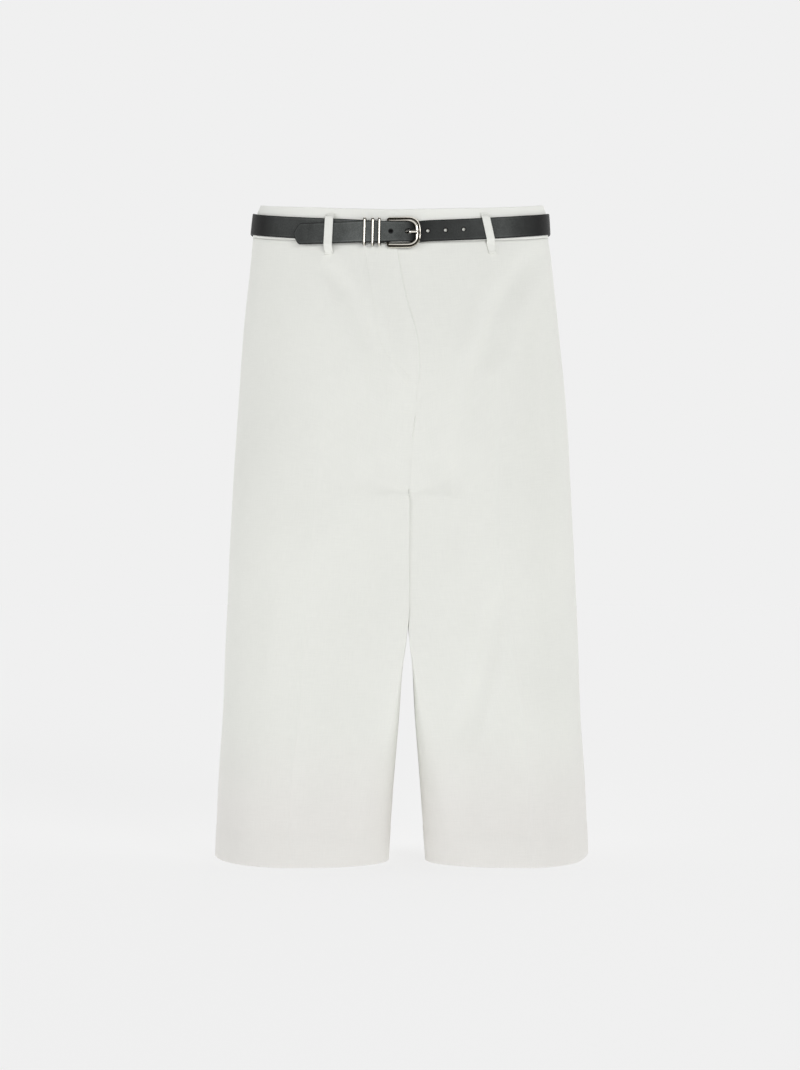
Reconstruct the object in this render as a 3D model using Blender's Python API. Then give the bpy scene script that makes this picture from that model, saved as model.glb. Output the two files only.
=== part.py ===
"""Culottes with pressed creases, filled out as when worn, and a narrow leather belt.

The garment stands upright: +Z is up, the front faces -Y and +X is the wearer's left.
The origin is the middle of the waist at the height of the belt's side stretches. Each leg
is a tube of two panels, a front and a back, and both legs share one seat. Every panel is a
grid of points on one surface, given a wall, so that neighbours meet along their seams.
Lengths are in metres.
"""
import math
from typing import NamedTuple

import bmesh
import bpy
import numpy as np

# Cloth and seams
WALL = 0.0015
SEAM_GAP = 0.0003
BAND_RAISE = 0.0003
BAND_INSIDE = 0.0018
BAND_HEIGHT = 0.034
BAND_ROWS = 2

# Heights of the waist's top edge, the crotch and the hem
TOP_FRONT = 0.0048
TOP_SIDE = 0.0196
TOP_BACK = 0.0233
TOP_EVEN_RISE = 0.0090
CROTCH_Z = -0.285
HEM_Z = -0.659
RISE_TOP = {"front": -0.210, "back": -0.205}
LEG_SHAPE_FROM = -0.100
LEG_SHAPE_TO = -0.370

# From the hips to the rise's curve the columns by the centre seam draw in to it
DRAW_FROM = -0.100
DRAW_TO = -0.210
DRAWN_SHARE = 0.04
DRAWN_POWER = 0.85
INNER_SIDE_SHARE = 0.45

# Roundness of the sections: 2 is an ellipse and more is squarer
TORSO_ROUNDNESS = 2.25

# Grid of a panel
TORSO_ROWS = 15
LEG_ROWS = 14
INNER_COLUMNS = 8
OUTER_COLUMNS = 6

SIGN = {"r": -1.0, "l": 1.0}


class Seam(NamedTuple):
    """Side seam of each leg at one height: distance from the middle, and depth."""
    z: float
    out_r: float
    out_l: float
    depth_r: float
    depth_l: float


class Torso(NamedTuple):
    """Depth of the front and the back from the middle plane at one height."""
    z: float
    front: float
    back: float


class Leg(NamedTuple):
    """Pressed creases, depths and inner edge of both legs at one height."""
    z: float
    crease_r: float
    crease_l: float
    front: float
    back: float
    inner_r: float
    inner_l: float
    inner_depth: float
    outer_round: float
    inner_round: float


class CentreFront(NamedTuple):
    """Sideways place of the fly and of the front seam below it."""
    z: float
    x: float


class Fold(NamedTuple):
    """One soft trough on the front, as points across and up, with a width and a depth."""
    width: float
    depth: float
    points: tuple


SEAMS = (
    Seam(0.030, 0.1430, 0.1442, 0.000, 0.000),
    Seam(0.0198, 0.1472, 0.1475, 0.000, 0.000),
    Seam(0.0126, 0.1500, 0.1496, 0.000, 0.000),
    Seam(0.000, 0.1536, 0.1512, 0.000, 0.000),
    Seam(-0.020, 0.1561, 0.1533, 0.000, 0.000),
    Seam(-0.053, 0.1594, 0.1572, 0.001, 0.001),
    Seam(-0.104, 0.1650, 0.1630, 0.002, 0.002),
    Seam(-0.179, 0.1705, 0.1697, 0.003, 0.004),
    Seam(-0.267, 0.1754, 0.1759, 0.004, 0.008),
    Seam(-0.393, 0.1817, 0.1820, 0.006, 0.016),
    Seam(-0.518, 0.1878, 0.1884, 0.009, 0.027),
    Seam(-0.581, 0.1927, 0.1938, 0.012, 0.034),
    Seam(HEM_Z, 0.1956, 0.1973, 0.014, 0.040),
)

TORSOS = (
    Torso(0.030, 0.0840, 0.0800),
    Torso(0.000, 0.0875, 0.0835),
    Torso(-0.030, 0.0900, 0.0870),
    Torso(-0.080, 0.0965, 0.0985),
    Torso(-0.130, 0.1025, 0.1100),
    Torso(-0.180, 0.1060, 0.1175),
    Torso(-0.230, 0.1065, 0.1190),
    Torso(CROTCH_Z, 0.1060, 0.1165),
    Torso(-0.370, 0.1045, 0.1120),
)

LEGS = (
    Leg(0.030, -0.0650, 0.0820, 0.0900, 0.0960, 0.0062, 0.0068, 0.004, 2.70, 9.0),
    Leg(-0.040, -0.0698, 0.0880, 0.0940, 0.1010, 0.0062, 0.0068, 0.004, 2.70, 9.0),
    Leg(-0.180, -0.0790, 0.0960, 0.0990, 0.1080, 0.0062, 0.0068, 0.004, 2.70, 12.0),
    Leg(CROTCH_Z, -0.0864, 0.0975, 0.1005, 0.1095, 0.0062, 0.0068, 0.004, 2.65, 18.0),
    Leg(-0.350, -0.0925, 0.0985, 0.1000, 0.1080, 0.0061, 0.0069, 0.000, 2.45, 18.0),
    Leg(-0.400, -0.0965, 0.1050, 0.0990, 0.1065, 0.0052, 0.0076, -0.005, 2.30, 14.0),
    Leg(-0.455, -0.1000, 0.1130, 0.0975, 0.1045, 0.0010, 0.0105, -0.010, 2.20, 8.0),
    Leg(-0.518, -0.1050, 0.1240, 0.0955, 0.1020, -0.0030, 0.0130, -0.016, 2.12, 6.5),
    Leg(-0.581, -0.1125, 0.1275, 0.0935, 0.0995, -0.0072, 0.0175, -0.022, 2.08, 5.5),
    Leg(HEM_Z, -0.1145, 0.1310, 0.0910, 0.0965, -0.0122, 0.0225, -0.028, 2.05, 5.0),
)

CENTRE_FRONTS = (
    CentreFront(0.030, -0.0090),
    CentreFront(-0.030, -0.0065),
    CentreFront(-0.080, 0.0020),
    CentreFront(-0.130, 0.0150),
    CentreFront(-0.175, 0.0155),
    CentreFront(-0.230, 0.0100),
    CentreFront(CROTCH_Z, 0.0065),
)

# The pressed creases stand up more towards the hem
CREASE_HIP_Z = -0.080
CREASE_HEIGHT = 0.0020
CREASE_REACH = 0.010

FRONT_FOLDS = (
    Fold(0.011, 0.0026, ((0.128, -0.046), (0.099, -0.089), (0.087, -0.138),
                         (0.075, -0.152), (0.071, -0.214))),
    Fold(0.010, 0.0022, ((0.094, -0.390), (0.087, -0.420), (0.081, -0.468),
                         (0.067, -0.512), (0.059, -0.532))),
    Fold(0.011, 0.0016, ((-0.057, -0.068), (-0.042, -0.109), (-0.027, -0.140),
                         (-0.029, -0.200), (-0.018, -0.270))),
)

# Belt: one strap that starts at the buckle's bar, goes round and ends as the tail
STRAP_WIDTH = 0.0218
STRAP_THICKNESS = 0.0024
BELT_DROP_SIDE = 0.0192
BELT_DROP_FRONT = 0.0224
BELT_UPRIGHT_SHARE = 0.5
STRAP_STEPS = 92
TAIL_START_STEPS = 33
TAIL_END_STEPS = 19
TIP_HALF_SHARE = 0.12
BAR_X = -0.0141
BAR_LIFT = 0.00315
BAR_RADIUS = 0.0011
FOLD_PLY = 0.0009
FOLD_CLEARANCE = 0.00025
FOLD_NARROWING = 0.0010
TIP_X = -0.1074
TIP_CORNER_X = -0.1008


class StrapPlace(NamedTuple):
    """Strap's middle at a place across the front: off the cloth, and how far it sags."""
    x: float
    lift: float
    sag: float


class Hole(NamedTuple):
    """A punched hole: its place, its half sizes, and how far its cutter goes past the strap."""
    x: float
    half_length: float
    half_height: float
    past: float


LIFT_AT_SIDE = 0.00265
LIFT_IN_FRONT = 0.00210
UNDER_LAYER = (
    StrapPlace(-0.0190, 0.00315, 0.0),
    StrapPlace(-0.0400, 0.00315, 0.0),
    StrapPlace(-0.0620, LIFT_IN_FRONT, 0.0),
    StrapPlace(-0.1250, LIFT_AT_SIDE, 0.0),
)
TAIL_LAYER = (
    StrapPlace(0.1250, LIFT_AT_SIDE, 0.0),
    StrapPlace(0.0900, LIFT_IN_FRONT, 0.0),
    StrapPlace(0.0260, LIFT_IN_FRONT, 0.0),
    StrapPlace(0.0130, LIFT_IN_FRONT, 0.0004),
    StrapPlace(0.0105, 0.00310, 0.0005),
    StrapPlace(0.0070, 0.00495, 0.0007),
    StrapPlace(0.0035, 0.00650, 0.0009),
    StrapPlace(-0.0010, 0.00710, 0.0010),
    StrapPlace(-0.0155, 0.00710, 0.0013),
    StrapPlace(-0.0215, 0.00590, 0.0014),
    StrapPlace(-0.0400, 0.00590, 0.0020),
    StrapPlace(-0.0620, 0.00475, 0.0040),
    StrapPlace(-0.1010, 0.00475, 0.0066),
    StrapPlace(TIP_X, 0.00475, 0.0070),
)

HOLE_SIDES = 12
CUTTER_LENGTH = 0.0075
HOLES = (
    Hole(-0.0111, 0.0016, 0.0016, 0.00014),
    Hole(0.0071, 0.0035, 0.0023, 0.00200),
    Hole(0.0259, 0.0016, 0.0016, 0.00014),
    Hole(0.0437, 0.0016, 0.0016, 0.00014),
    Hole(0.0620, 0.0016, 0.0016, 0.00014),
)

# Slot in the strap's fold that leaves room for the prong's curl
SLOT_FROM_X = -0.0186
SLOT_TO_X = -0.0101
SLOT_FLOOR = 0.00020
SLOT_TOP = 0.00565
SLOT_ROOM = 0.00050

KEEPER_XS = (-0.0373, -0.0292, -0.0227)
KEEPER_WIDTH = 0.0022
KEEPER_THICKNESS = 0.0008
KEEPER_HALF_HEIGHT = 0.0138
KEEPER_SHIFT = -0.0013
KEEPER_LIFTS = (0.00113, 0.00780)
KEEPER_CORNER = 0.0012
KEEPER_CORNER_STEPS = 4


class Corner(NamedTuple):
    """A corner of an outline: place along and up, its radius and its points."""
    x: float
    height: float
    radius: float
    steps: int


FRAME_SHIFT = -0.0016
FRAME_OUTER_X = 0.0166
FRAME_OUTER_LIFT = 0.00515
FRAME_HALF_BAR = 0.0132
FRAME_HALF_OUTER = 0.0139
FRAME_BULGE = 0.0010
FRAME_SIDES = 8
FRAME_THICKNESS = 0.0026
FRAME_WIDTH_OUTER = 0.0036

# Corners of the frame's outline, from the bar's lower end round the outer side
FRAME_CORNERS = (
    Corner(BAR_X, -FRAME_HALF_BAR, 0.0012, 3),
    Corner(FRAME_OUTER_X, -FRAME_HALF_OUTER, 0.0062, 8),
    Corner(FRAME_OUTER_X + FRAME_BULGE, 0.0, 0.0300, 3),
    Corner(FRAME_OUTER_X, FRAME_HALF_OUTER, 0.0062, 8),
    Corner(BAR_X, FRAME_HALF_BAR, 0.0012, 3),
)


class ProngPlace(NamedTuple):
    """Prong's middle line past its curl: place across, lift, thickness and width."""
    x: float
    lift: float
    thickness: float
    width: float


PRONG_WIDTH = 0.0024
PRONG_PLY = 0.0008
PRONG_CURL_FROM = 340.0
PRONG_CURL_TO = 70.0
PRONG_CURL_STEPS = 12
PRONG_PLACES = (
    ProngPlace(-0.0105, 0.00400, 0.0008, 0.0024),
    ProngPlace(-0.0070, 0.00330, 0.0009, 0.0024),
    ProngPlace(0.0036, 0.00320, 0.0012, 0.0024),
    ProngPlace(0.0058, 0.00440, 0.0017, 0.0024),
    ProngPlace(0.0082, 0.00660, 0.0017, 0.0024),
    ProngPlace(0.0105, 0.00755, 0.0017, 0.0024),
    ProngPlace(0.0138, 0.00775, 0.0017, 0.0024),
    ProngPlace(0.0172, 0.00765, 0.0017, 0.0022),
    ProngPlace(0.0192, 0.00720, 0.0010, 0.0012),
)


class Loop(NamedTuple):
    """One belt loop: its place, the lift that clears the belt there, and its lean."""
    name: str
    angle: float
    clear_lift: float
    sag_room: float
    lean: float


LOOP_WIDTH = 0.0084
LOOP_THICKNESS = 0.0013
LOOP_TOP = 0.0162
LOOP_BOTTOM = -0.0262
LOOP_LIFT = 0.00080
LOOP_TOP_RUN = 0.0020
LOOP_EDGE_ROOM = 0.0002
LOOP_BULGE = 0.0001
LOOP_FOOT_RUN = 0.0010
LOOP_FOOT_SLOPE = 0.9
LOOPS = (
    Loop("loop_front_r", math.radians(-27.0), 0.00630, 0.0054, 0.00),
    Loop("loop_front_l", math.radians(33.1), 0.00360, 0.0, -0.165),
    Loop("loop_side_r", math.radians(-128.0), 0.00480, 0.0, 0.0),
    Loop("loop_side_l", math.radians(128.0), 0.00480, 0.0, 0.0),
    Loop("loop_back", math.radians(180.0), 0.00430, 0.0, 0.0),
)

# Colours are linear RGB
CLOTH_COLOUR = (0.80, 0.80, 0.77)
LEATHER_COLOUR = (0.030, 0.036, 0.036)
METAL_COLOUR = (0.78, 0.72, 0.62)


def column(table, name):
    """Return one named column of a table as an array."""
    return np.array([getattr(row, name) for row in table])


def smooth(table, name, z):
    """Read a column at heights z along a smooth curve through its rows.

    The curve is a cubic between neighbouring rows whose slope at each row is that of the
    chord from the row before to the row after.
    """
    heights = column(table, "z")[::-1]
    values = column(table, name)[::-1]
    slopes = np.gradient(values, heights)
    z = np.clip(z, heights[0], heights[-1])
    k = np.clip(np.searchsorted(heights, z) - 1, 0, len(heights) - 2)
    step = heights[k + 1] - heights[k]
    t = (z - heights[k]) / step
    rise = values[k + 1] - values[k]
    start = slopes[k] * step
    end = slopes[k + 1] * step
    return values[k] + t * (start + t * ((3 * rise - 2 * start - end) + t * (start + end - 2 * rise)))


def superellipse(angle, roundness):
    """Unit superellipse at a polar angle from its top, as sideways and upward parts."""
    across = np.sin(angle)
    up = np.cos(angle)
    radius = (np.abs(across) ** roundness + np.abs(up) ** roundness) ** (-1.0 / roundness)
    return radius * across, radius * up


def angle_at(share):
    """Polar angle where the torso's superellipse is a given share of its half width out."""
    share = np.clip(share, -0.999, 0.999)
    up = (1.0 - np.abs(share) ** TORSO_ROUNDNESS) ** (1.0 / TORSO_ROUNDNESS)
    return np.arctan2(share, up)


def torso_point(angle, z):
    """Point of the seat's surface at an angle round from the front and a height."""
    across, up = superellipse(angle, TORSO_ROUNDNESS)
    left = np.sin(angle) >= 0.0
    half = np.where(left, smooth(SEAMS, "out_l", z), smooth(SEAMS, "out_r", z))
    seam = np.where(left, smooth(SEAMS, "depth_l", z), smooth(SEAMS, "depth_r", z))
    ahead = np.cos(angle) >= 0.0
    depth = np.where(ahead, smooth(TORSOS, "front", z) + seam, smooth(TORSOS, "back", z) - seam)
    return np.stack([half * across, seam - depth * up, z + 0.0 * angle], axis=-1)


def waist_top(angle):
    """Height of the waist's top edge at an angle round from the front."""
    out = np.abs(np.sin(angle))
    front = TOP_FRONT + TOP_EVEN_RISE * out ** 1.6
    front = front + (TOP_SIDE - TOP_FRONT - TOP_EVEN_RISE) * out ** 8
    back = TOP_BACK + (TOP_SIDE - TOP_BACK) * out ** 2
    return np.where(np.cos(angle) >= 0.0, front, back)


def rise_share(z, face):
    """How far a section has turned from the seat's shape into two legs, from 0 to 1.

    The centre seam runs down the face and curves under as a quarter ellipse to the crotch.
    """
    top = RISE_TOP[face]
    t = np.clip((top - z) / (top - CROTCH_Z), 0.0, 1.0)
    return 1.0 - np.sqrt(1.0 - t * t)


def smooth_step(value, low, high):
    """Rise smoothly from 0 where value is low to 1 where it is high."""
    t = np.clip((value - low) / (high - low), 0.0, 1.0)
    return t * t * (3.0 - 2.0 * t)


def leg_share(z):
    """How far a section has turned into the legs' shape at the creases and outside them."""
    return smooth_step(-z, -LEG_SHAPE_FROM, -LEG_SHAPE_TO)


def drawn_in(t, z):
    """Share of the way out from the centre seam, as the columns draw in to it.

    Half of them end up by the seam, where they turn inwards as the leg's inner side.
    """
    outward = np.clip(2.0 * t - 1.0, 0.0, 1.0) ** DRAWN_POWER
    gathered = DRAWN_SHARE * np.minimum(2.0 * t, 1.0) + (1.0 - DRAWN_SHARE) * outward
    return t + (gathered - t) * smooth_step(-z, -DRAW_FROM, -DRAW_TO)


def section(side, face, outer, t, z):
    """Points of one panel's surface.

    Args:
        side: "r" or "l", the wearer's right or left leg.
        face: "front" or "back".
        outer: True on the stretch from crease to side seam, False from centre to crease.
        t: how far along that stretch, 0 at the centre or crease.
        z: heights, of the same shape as t.
    """
    sign = SIGN[side]
    toward = -1.0 if face == "front" else 1.0
    half = smooth(SEAMS, "out_" + side, z)
    seam_depth = smooth(SEAMS, "depth_" + side, z)
    crease = sign * smooth(LEGS, "crease_" + side, z)
    centre = sign * smooth(CENTRE_FRONTS, "x", z) if face == "front" else 0.0 * z
    start = angle_at(centre / half)
    middle = angle_at(crease / half)
    if outer:
        angle = middle + (0.5 * math.pi - middle) * t
    else:
        angle = start + (middle - start) * drawn_in(t, z)
    across, up = superellipse(angle, TORSO_ROUNDNESS)
    depth = smooth(TORSOS, face, z) - toward * seam_depth
    torso_x = sign * half * across
    torso_y = seam_depth + toward * depth * up

    crease_y = toward * smooth(LEGS, face, z)
    if outer:
        across, up = superellipse(0.5 * math.pi * t, smooth(LEGS, "outer_round", z))
        leg_x = sign * (crease + (half - crease) * across)
        leg_y = seam_depth + (crease_y - seam_depth) * up
    else:
        inner = smooth(LEGS, "inner_" + side, z)
        inner_y = smooth(LEGS, "inner_depth", z)
        across, up = superellipse(0.5 * math.pi * (1.0 - t), smooth(LEGS, "inner_round", z))
        leg_x = sign * crease + (inner - sign * crease) * across
        leg_y = inner_y + (crease_y - inner_y) * up
    share = leg_share(z)
    if outer:
        return np.stack([torso_x + (leg_x - torso_x) * share,
                         torso_y + (leg_y - torso_y) * share, z], axis=-1)
    by_seam = 1.0 - smooth_step(t, INNER_SIDE_SHARE, 1.0)
    turned = rise_share(z, face)
    flat_y = torso_y + (crease_y - torso_y) * share
    return np.stack([torso_x + (leg_x - torso_x) * (share + (turned - share) * by_seam),
                     flat_y + (leg_y - flat_y) * turned * by_seam, z], axis=-1)


def rise_heights(face):
    """Heights of the rows at the centre seam, at even steps along its curve to the crotch."""
    z = np.linspace(0.0, 1.0, 400) ** 0.5 * (CROTCH_Z + 0.030) - 0.030
    depth = smooth(TORSOS, face, z) * (1.0 - rise_share(z, face))
    length = np.append(0.0, np.cumsum(np.hypot(np.diff(z), np.diff(depth))))
    return np.interp(np.linspace(0.0, length[-1], TORSO_ROWS + 1), length, z)


def panel_heights(side, face, outer, t):
    """Heights of a panel's grid from the waist's top edge to the hem.

    The first rows are the waistband's and the next run from its seam to the crotch. At the
    side seam they are evenly spaced, and towards the middle they follow the rise's curve.
    """
    columns = INNER_COLUMNS + OUTER_COLUMNS
    place = (INNER_COLUMNS + OUTER_COLUMNS * t if outer else INNER_COLUMNS * t) / columns
    level = smooth(SEAMS, "out_" + side, 0.0 * t)
    x = SIGN[side] * section(side, face, outer, t, 0.0 * t)[..., 0]
    angle = angle_at(x / level)
    angle = angle if face == "front" else math.pi - angle
    top = waist_top(angle)
    band = top[None, :] - BAND_HEIGHT * np.linspace(0.0, 1.0, BAND_ROWS + 1)[:, None]
    curve = rise_heights(face)
    even = np.linspace(0.0, 1.0, TORSO_ROWS + 1)
    drawn = (curve - curve[0]) / (curve[-1] - curve[0])
    share = drawn[:, None] + (even - drawn)[:, None] * np.minimum(1.0, 1.4 * place)[None, :]
    torso = band[-1] + (CROTCH_Z - band[-1]) * share
    down = np.linspace(0.0, 1.0, LEG_ROWS + 1)[1:, None]
    leg = CROTCH_Z + (HEM_Z - CROTCH_Z) * down + 0.0 * t[None, :]
    return np.vstack([band, torso[1:], leg])


def fold_depth(points):
    """Depth of the front's soft troughs at given points.

    Each trough is a bell curve of the distance to its line, faded at the line's ends.
    """
    depth = np.zeros(points.shape[:-1])
    for fold in FRONT_FOLDS:
        line = np.array(fold.points)
        steps = np.append(0.0, np.cumsum(np.hypot(*np.diff(line, axis=0).T)))
        at = np.linspace(0.0, steps[-1], 60)
        dense = np.stack([np.interp(at, steps, line[:, 0]), np.interp(at, steps, line[:, 1])], 1)
        away = points[..., None, [0, 2]] - dense
        distance = np.hypot(away[..., 0], away[..., 1])
        nearest = at[np.argmin(distance, axis=-1)] / steps[-1]
        fade = np.sin(math.pi * np.clip(nearest, 0.04, 0.96)) ** 0.5
        depth += fold.depth * fade * np.exp(-(distance.min(axis=-1) / fold.width) ** 2)
    return depth


def half_garment(side):
    """Surface grid and outward normals of one leg and its half of the seat.

    Columns run from the centre front over the crease to the side seam and on to the centre
    back. Returns the points, the normals and the column of the side seam.
    """
    parts = []
    for face in ("front", "back"):
        inner_t = np.linspace(0.0, 1.0, INNER_COLUMNS + 1)
        outer_t = np.linspace(0.0, 1.0, OUTER_COLUMNS + 1)
        grids = []
        for outer, t in ((False, inner_t), (True, outer_t)):
            z = panel_heights(side, face, outer, t)
            grids.append(section(side, face, outer, np.broadcast_to(t, z.shape), z))
        whole = np.concatenate([grids[0], grids[1][:, 1:]], axis=1)
        parts.append(whole if face == "front" else whole[:, ::-1])
    seam = INNER_COLUMNS + OUTER_COLUMNS
    grid = np.concatenate([parts[0], parts[1][:, 1:]], axis=1)
    normals = outward_normals(grid, side)
    lift = crease_lift(grid)
    lift[:, :seam + 1] -= fold_depth(grid[:, :seam + 1])
    lift[:, [0, seam, 2 * seam]] = 0.0
    grid = grid + normals * lift[..., None]
    return grid, outward_normals(grid, side), seam


def crease_lift(grid):
    """Height of the pressed creases over the grid, nothing at the hips, full at the hem."""
    lift = np.zeros(grid.shape[:-1])
    rising = np.clip((CREASE_HIP_Z - grid[..., 2]) / (CREASE_HIP_Z - HEM_Z), 0.0, 1.0)
    for place in (INNER_COLUMNS, INNER_COLUMNS + 2 * OUTER_COLUMNS):
        away = np.abs(grid[..., 0] - grid[:, place:place + 1, 0])
        near = np.abs(np.arange(grid.shape[1]) - place) <= 1
        lift += near * CREASE_HEIGHT * rising * np.exp(-away / CREASE_REACH)
    return lift


def outward_normals(grid, side):
    """Unit normals of a half garment's grid, shared by the panels on both sides of a seam."""
    along = np.gradient(grid, axis=1)
    crotch = BAND_ROWS + TORSO_ROWS
    around = grid[crotch:, 1] - grid[crotch:, -2]
    along[crotch:, 0] = around
    along[crotch:, -1] = around
    normals = SIGN[side] * np.cross(along, np.gradient(grid, axis=0))
    normals /= np.linalg.norm(normals, axis=-1, keepdims=True)
    facing = np.sign(np.sum(normals[0, 1] * grid[0, 1]))
    normals *= facing
    for end in (0, -1):
        across = SIGN[side] * normals[:crotch, end, 0]
        normals[:crotch, end, 0] = SIGN[side] * np.minimum(across, 0.0)
    return normals / np.linalg.norm(normals, axis=-1, keepdims=True)


def new_material(name, colour, roughness, metallic):
    """Make a Principled material."""
    material = bpy.data.materials.new(name)
    material.use_nodes = True
    shader = material.node_tree.nodes["Principled BSDF"]
    shader.inputs["Base Color"].default_value = (*colour, 1.0)
    shader.inputs["Roughness"].default_value = roughness
    shader.inputs["Metallic"].default_value = metallic
    return material


def new_object(name, vertices, faces, material):
    """Make an object from vertices and faces, with its faces turned outward."""
    mesh = bpy.data.meshes.new(name)
    mesh.from_pydata([tuple(v) for v in vertices], [], faces)
    work = bmesh.new()
    work.from_mesh(mesh)
    bmesh.ops.recalc_face_normals(work, faces=work.faces)
    work.to_mesh(mesh)
    work.free()
    mesh.materials.append(material)
    part = bpy.data.objects.new(name, mesh)
    bpy.context.collection.objects.link(part)
    return part


def wall_object(name, outer, inner, material):
    """Make a closed wall between an outer and an inner grid of points."""
    rows, columns = outer.shape[:2]
    count = rows * columns
    index = np.arange(count).reshape(rows, columns)
    faces = []
    for offset in (0, count):
        k = index + offset
        quads = np.stack([k[:-1, :-1], k[:-1, 1:], k[1:, 1:], k[1:, :-1]], -1).reshape(-1, 4)
        faces += (quads if offset == 0 else quads[:, ::-1]).tolist()
    rim = np.concatenate([index[0, :-1], index[:-1, -1], index[-1, :0:-1], index[:0:-1, 0]])
    for a, b in zip(rim.tolist(), np.roll(rim, -1).tolist()):
        faces.append([b, a, a + count, b + count])
    vertices = np.concatenate([outer.reshape(-1, 3), inner.reshape(-1, 3)])
    part = new_object(name, vertices, faces, material)
    part.data.shade_smooth()
    part.data.set_sharp_from_angle(angle=math.radians(40))
    return part


def build_cloth(side, material):
    """Make one leg's front and back panels and its half of the waistband."""
    grid, normals, seam = half_garment(side)
    sign = SIGN[side]
    half_gap = 0.5 * SEAM_GAP
    crotch = BAND_ROWS + TORSO_ROWS
    pieces = {"front": slice(0, seam + 1), "back": slice(seam, 2 * seam + 1)}
    for face, columns in pieces.items():
        points = grid[BAND_ROWS:, columns].copy()
        away = normals[BAND_ROWS:, columns]
        toward = -1.0 if face == "front" else 1.0
        side_edge, centre_edge = (-1, 0) if face == "front" else (0, -1)
        points[0, :, 2] -= half_gap
        points[:, side_edge, 1] += toward * half_gap
        points[:TORSO_ROWS, centre_edge, 0] += sign * half_gap
        points[TORSO_ROWS:, centre_edge, 1] += toward * half_gap
        wall_object(f"{face}_{side}", points, points - WALL * away, material)
    band = grid[:BAND_ROWS + 1].copy()
    away = normals[:BAND_ROWS + 1]
    band[-1, :, 2] += half_gap
    band[:, [0, -1], 0] += sign * half_gap
    outer = band + BAND_RAISE * away
    wall_object(f"waistband_{side}", outer, band - BAND_INSIDE * away, material)


class Waist:
    """Places points on the belt's line: along it, off the cloth, and up it.

    At the sides the direction up it may stand more upright than the cloth, by a share.
    """

    SAMPLES = 1440

    def __init__(self, upright_share):
        angle = np.linspace(-math.pi, math.pi, self.SAMPLES + 1)
        front = np.where(np.cos(angle) > 0.0, 1.0 - np.sin(angle) ** 4, 0.0)
        drop = BELT_DROP_SIDE + (BELT_DROP_FRONT - BELT_DROP_SIDE) * front
        z = waist_top(angle) - drop
        self.angle = angle
        self.points = torso_point(angle, z)
        reach = 0.5 * STRAP_WIDTH
        up = torso_point(angle, z + reach) - torso_point(angle, z - reach)
        up[:, :2] *= 1.0 - upright_share * np.sin(angle)[:, None] ** 2
        self.up = up / np.linalg.norm(up, axis=1, keepdims=True)
        along = np.gradient(self.points, axis=0)
        along[[0, -1]] = self.points[1] - self.points[-2]
        normal = np.cross(along, self.up)
        self.normal = normal / np.linalg.norm(normal, axis=1, keepdims=True)
        steps = np.linalg.norm(np.diff(self.points, axis=0), axis=1)
        length = np.append(0.0, np.cumsum(steps))
        self.length = length[-1]
        self.s = length - np.interp(0.0, angle, length)

    def along(self, x):
        """Distance along the belt's line from the centre front to a place across it."""
        front = np.abs(self.angle) < 0.45 * math.pi
        return np.interp(x, self.points[front, 0], self.s[front])

    def at_angle(self, angle):
        """Distance along the belt's line to an angle round from the front."""
        return np.interp(angle, self.angle, self.s)

    def place(self, s, lift, height):
        """World points at distances s along the line, lift off the cloth and height up."""
        s = (np.asarray(s) - self.s[0]) % self.length + self.s[0]
        lift = np.asarray(lift)[..., None]
        height = np.asarray(height)[..., None]
        rows = []
        for source in (self.points, self.normal, self.up):
            rows.append(np.stack([np.interp(s, self.s, source[:, k]) for k in range(3)], -1))
        return rows[0] + rows[1] * lift + rows[2] * height


def arc(centre, radius, start, end, steps):
    """Points of an arc in the plane, with angles in degrees."""
    turn = np.radians(np.linspace(start, end, steps))
    return np.stack([centre[0] + radius * np.cos(turn), centre[1] + radius * np.sin(turn)], 1)


def edge_lines(path, thickness, closed=False):
    """Both edges of a ribbon whose middle line is a path in the plane."""
    if closed:
        ahead = np.roll(path, -1, axis=0) - np.roll(path, 1, axis=0)
    else:
        ahead = np.gradient(path, axis=0)
    ahead = ahead / np.linalg.norm(ahead, axis=1, keepdims=True)
    normal = np.stack([-ahead[:, 1], ahead[:, 0]], 1)
    half = 0.5 * np.broadcast_to(thickness, len(path))[:, None]
    return path + normal * half, path - normal * half


def ribbon_object(name, path, thickness, half_width, place, material, closed=False):
    """Make a ribbon of rectangular section along a path in the plane.

    Args:
        path: middle line, as an array of points in the plane.
        thickness: one value, or one for each point.
        half_width: half the ribbon's width, one value or one for each point.
        place: function from the plane's two coordinates and the width's to world points.
        closed: True for a ring.
    """
    above, below = edge_lines(path, thickness, closed)
    half = np.broadcast_to(half_width, len(path))
    corners = [place(line[:, 0], line[:, 1], way * half)
               for line, way in ((above, 1.0), (below, 1.0), (below, -1.0), (above, -1.0))]
    return ring_object(name, np.stack(corners, axis=1), closed, material)


def ring_object(name, rings, closed, material):
    """Join rings of points into a tube, with caps unless it is closed on itself."""
    stations, sides = rings.shape[:2]
    faces = []
    for k in range(stations if closed else stations - 1):
        here = k * sides
        there = (k + 1) % stations * sides
        for j in range(sides):
            i = (j + 1) % sides
            faces.append([here + j, here + i, there + i, there + j])
    if not closed:
        faces.append(list(range(sides)))
        faces.append([(stations - 1) * sides + j for j in range(sides)][::-1])
    part = new_object(name, rings.reshape(-1, 3), faces, material)
    part.data.shade_smooth()
    part.data.set_sharp_from_angle(angle=math.radians(40))
    return part


def bar_curl(radius, start, end, steps):
    """A ply's middle line round the buckle's bar."""
    return arc((0.0, BAR_LIFT), radius, start, end, steps)


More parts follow.
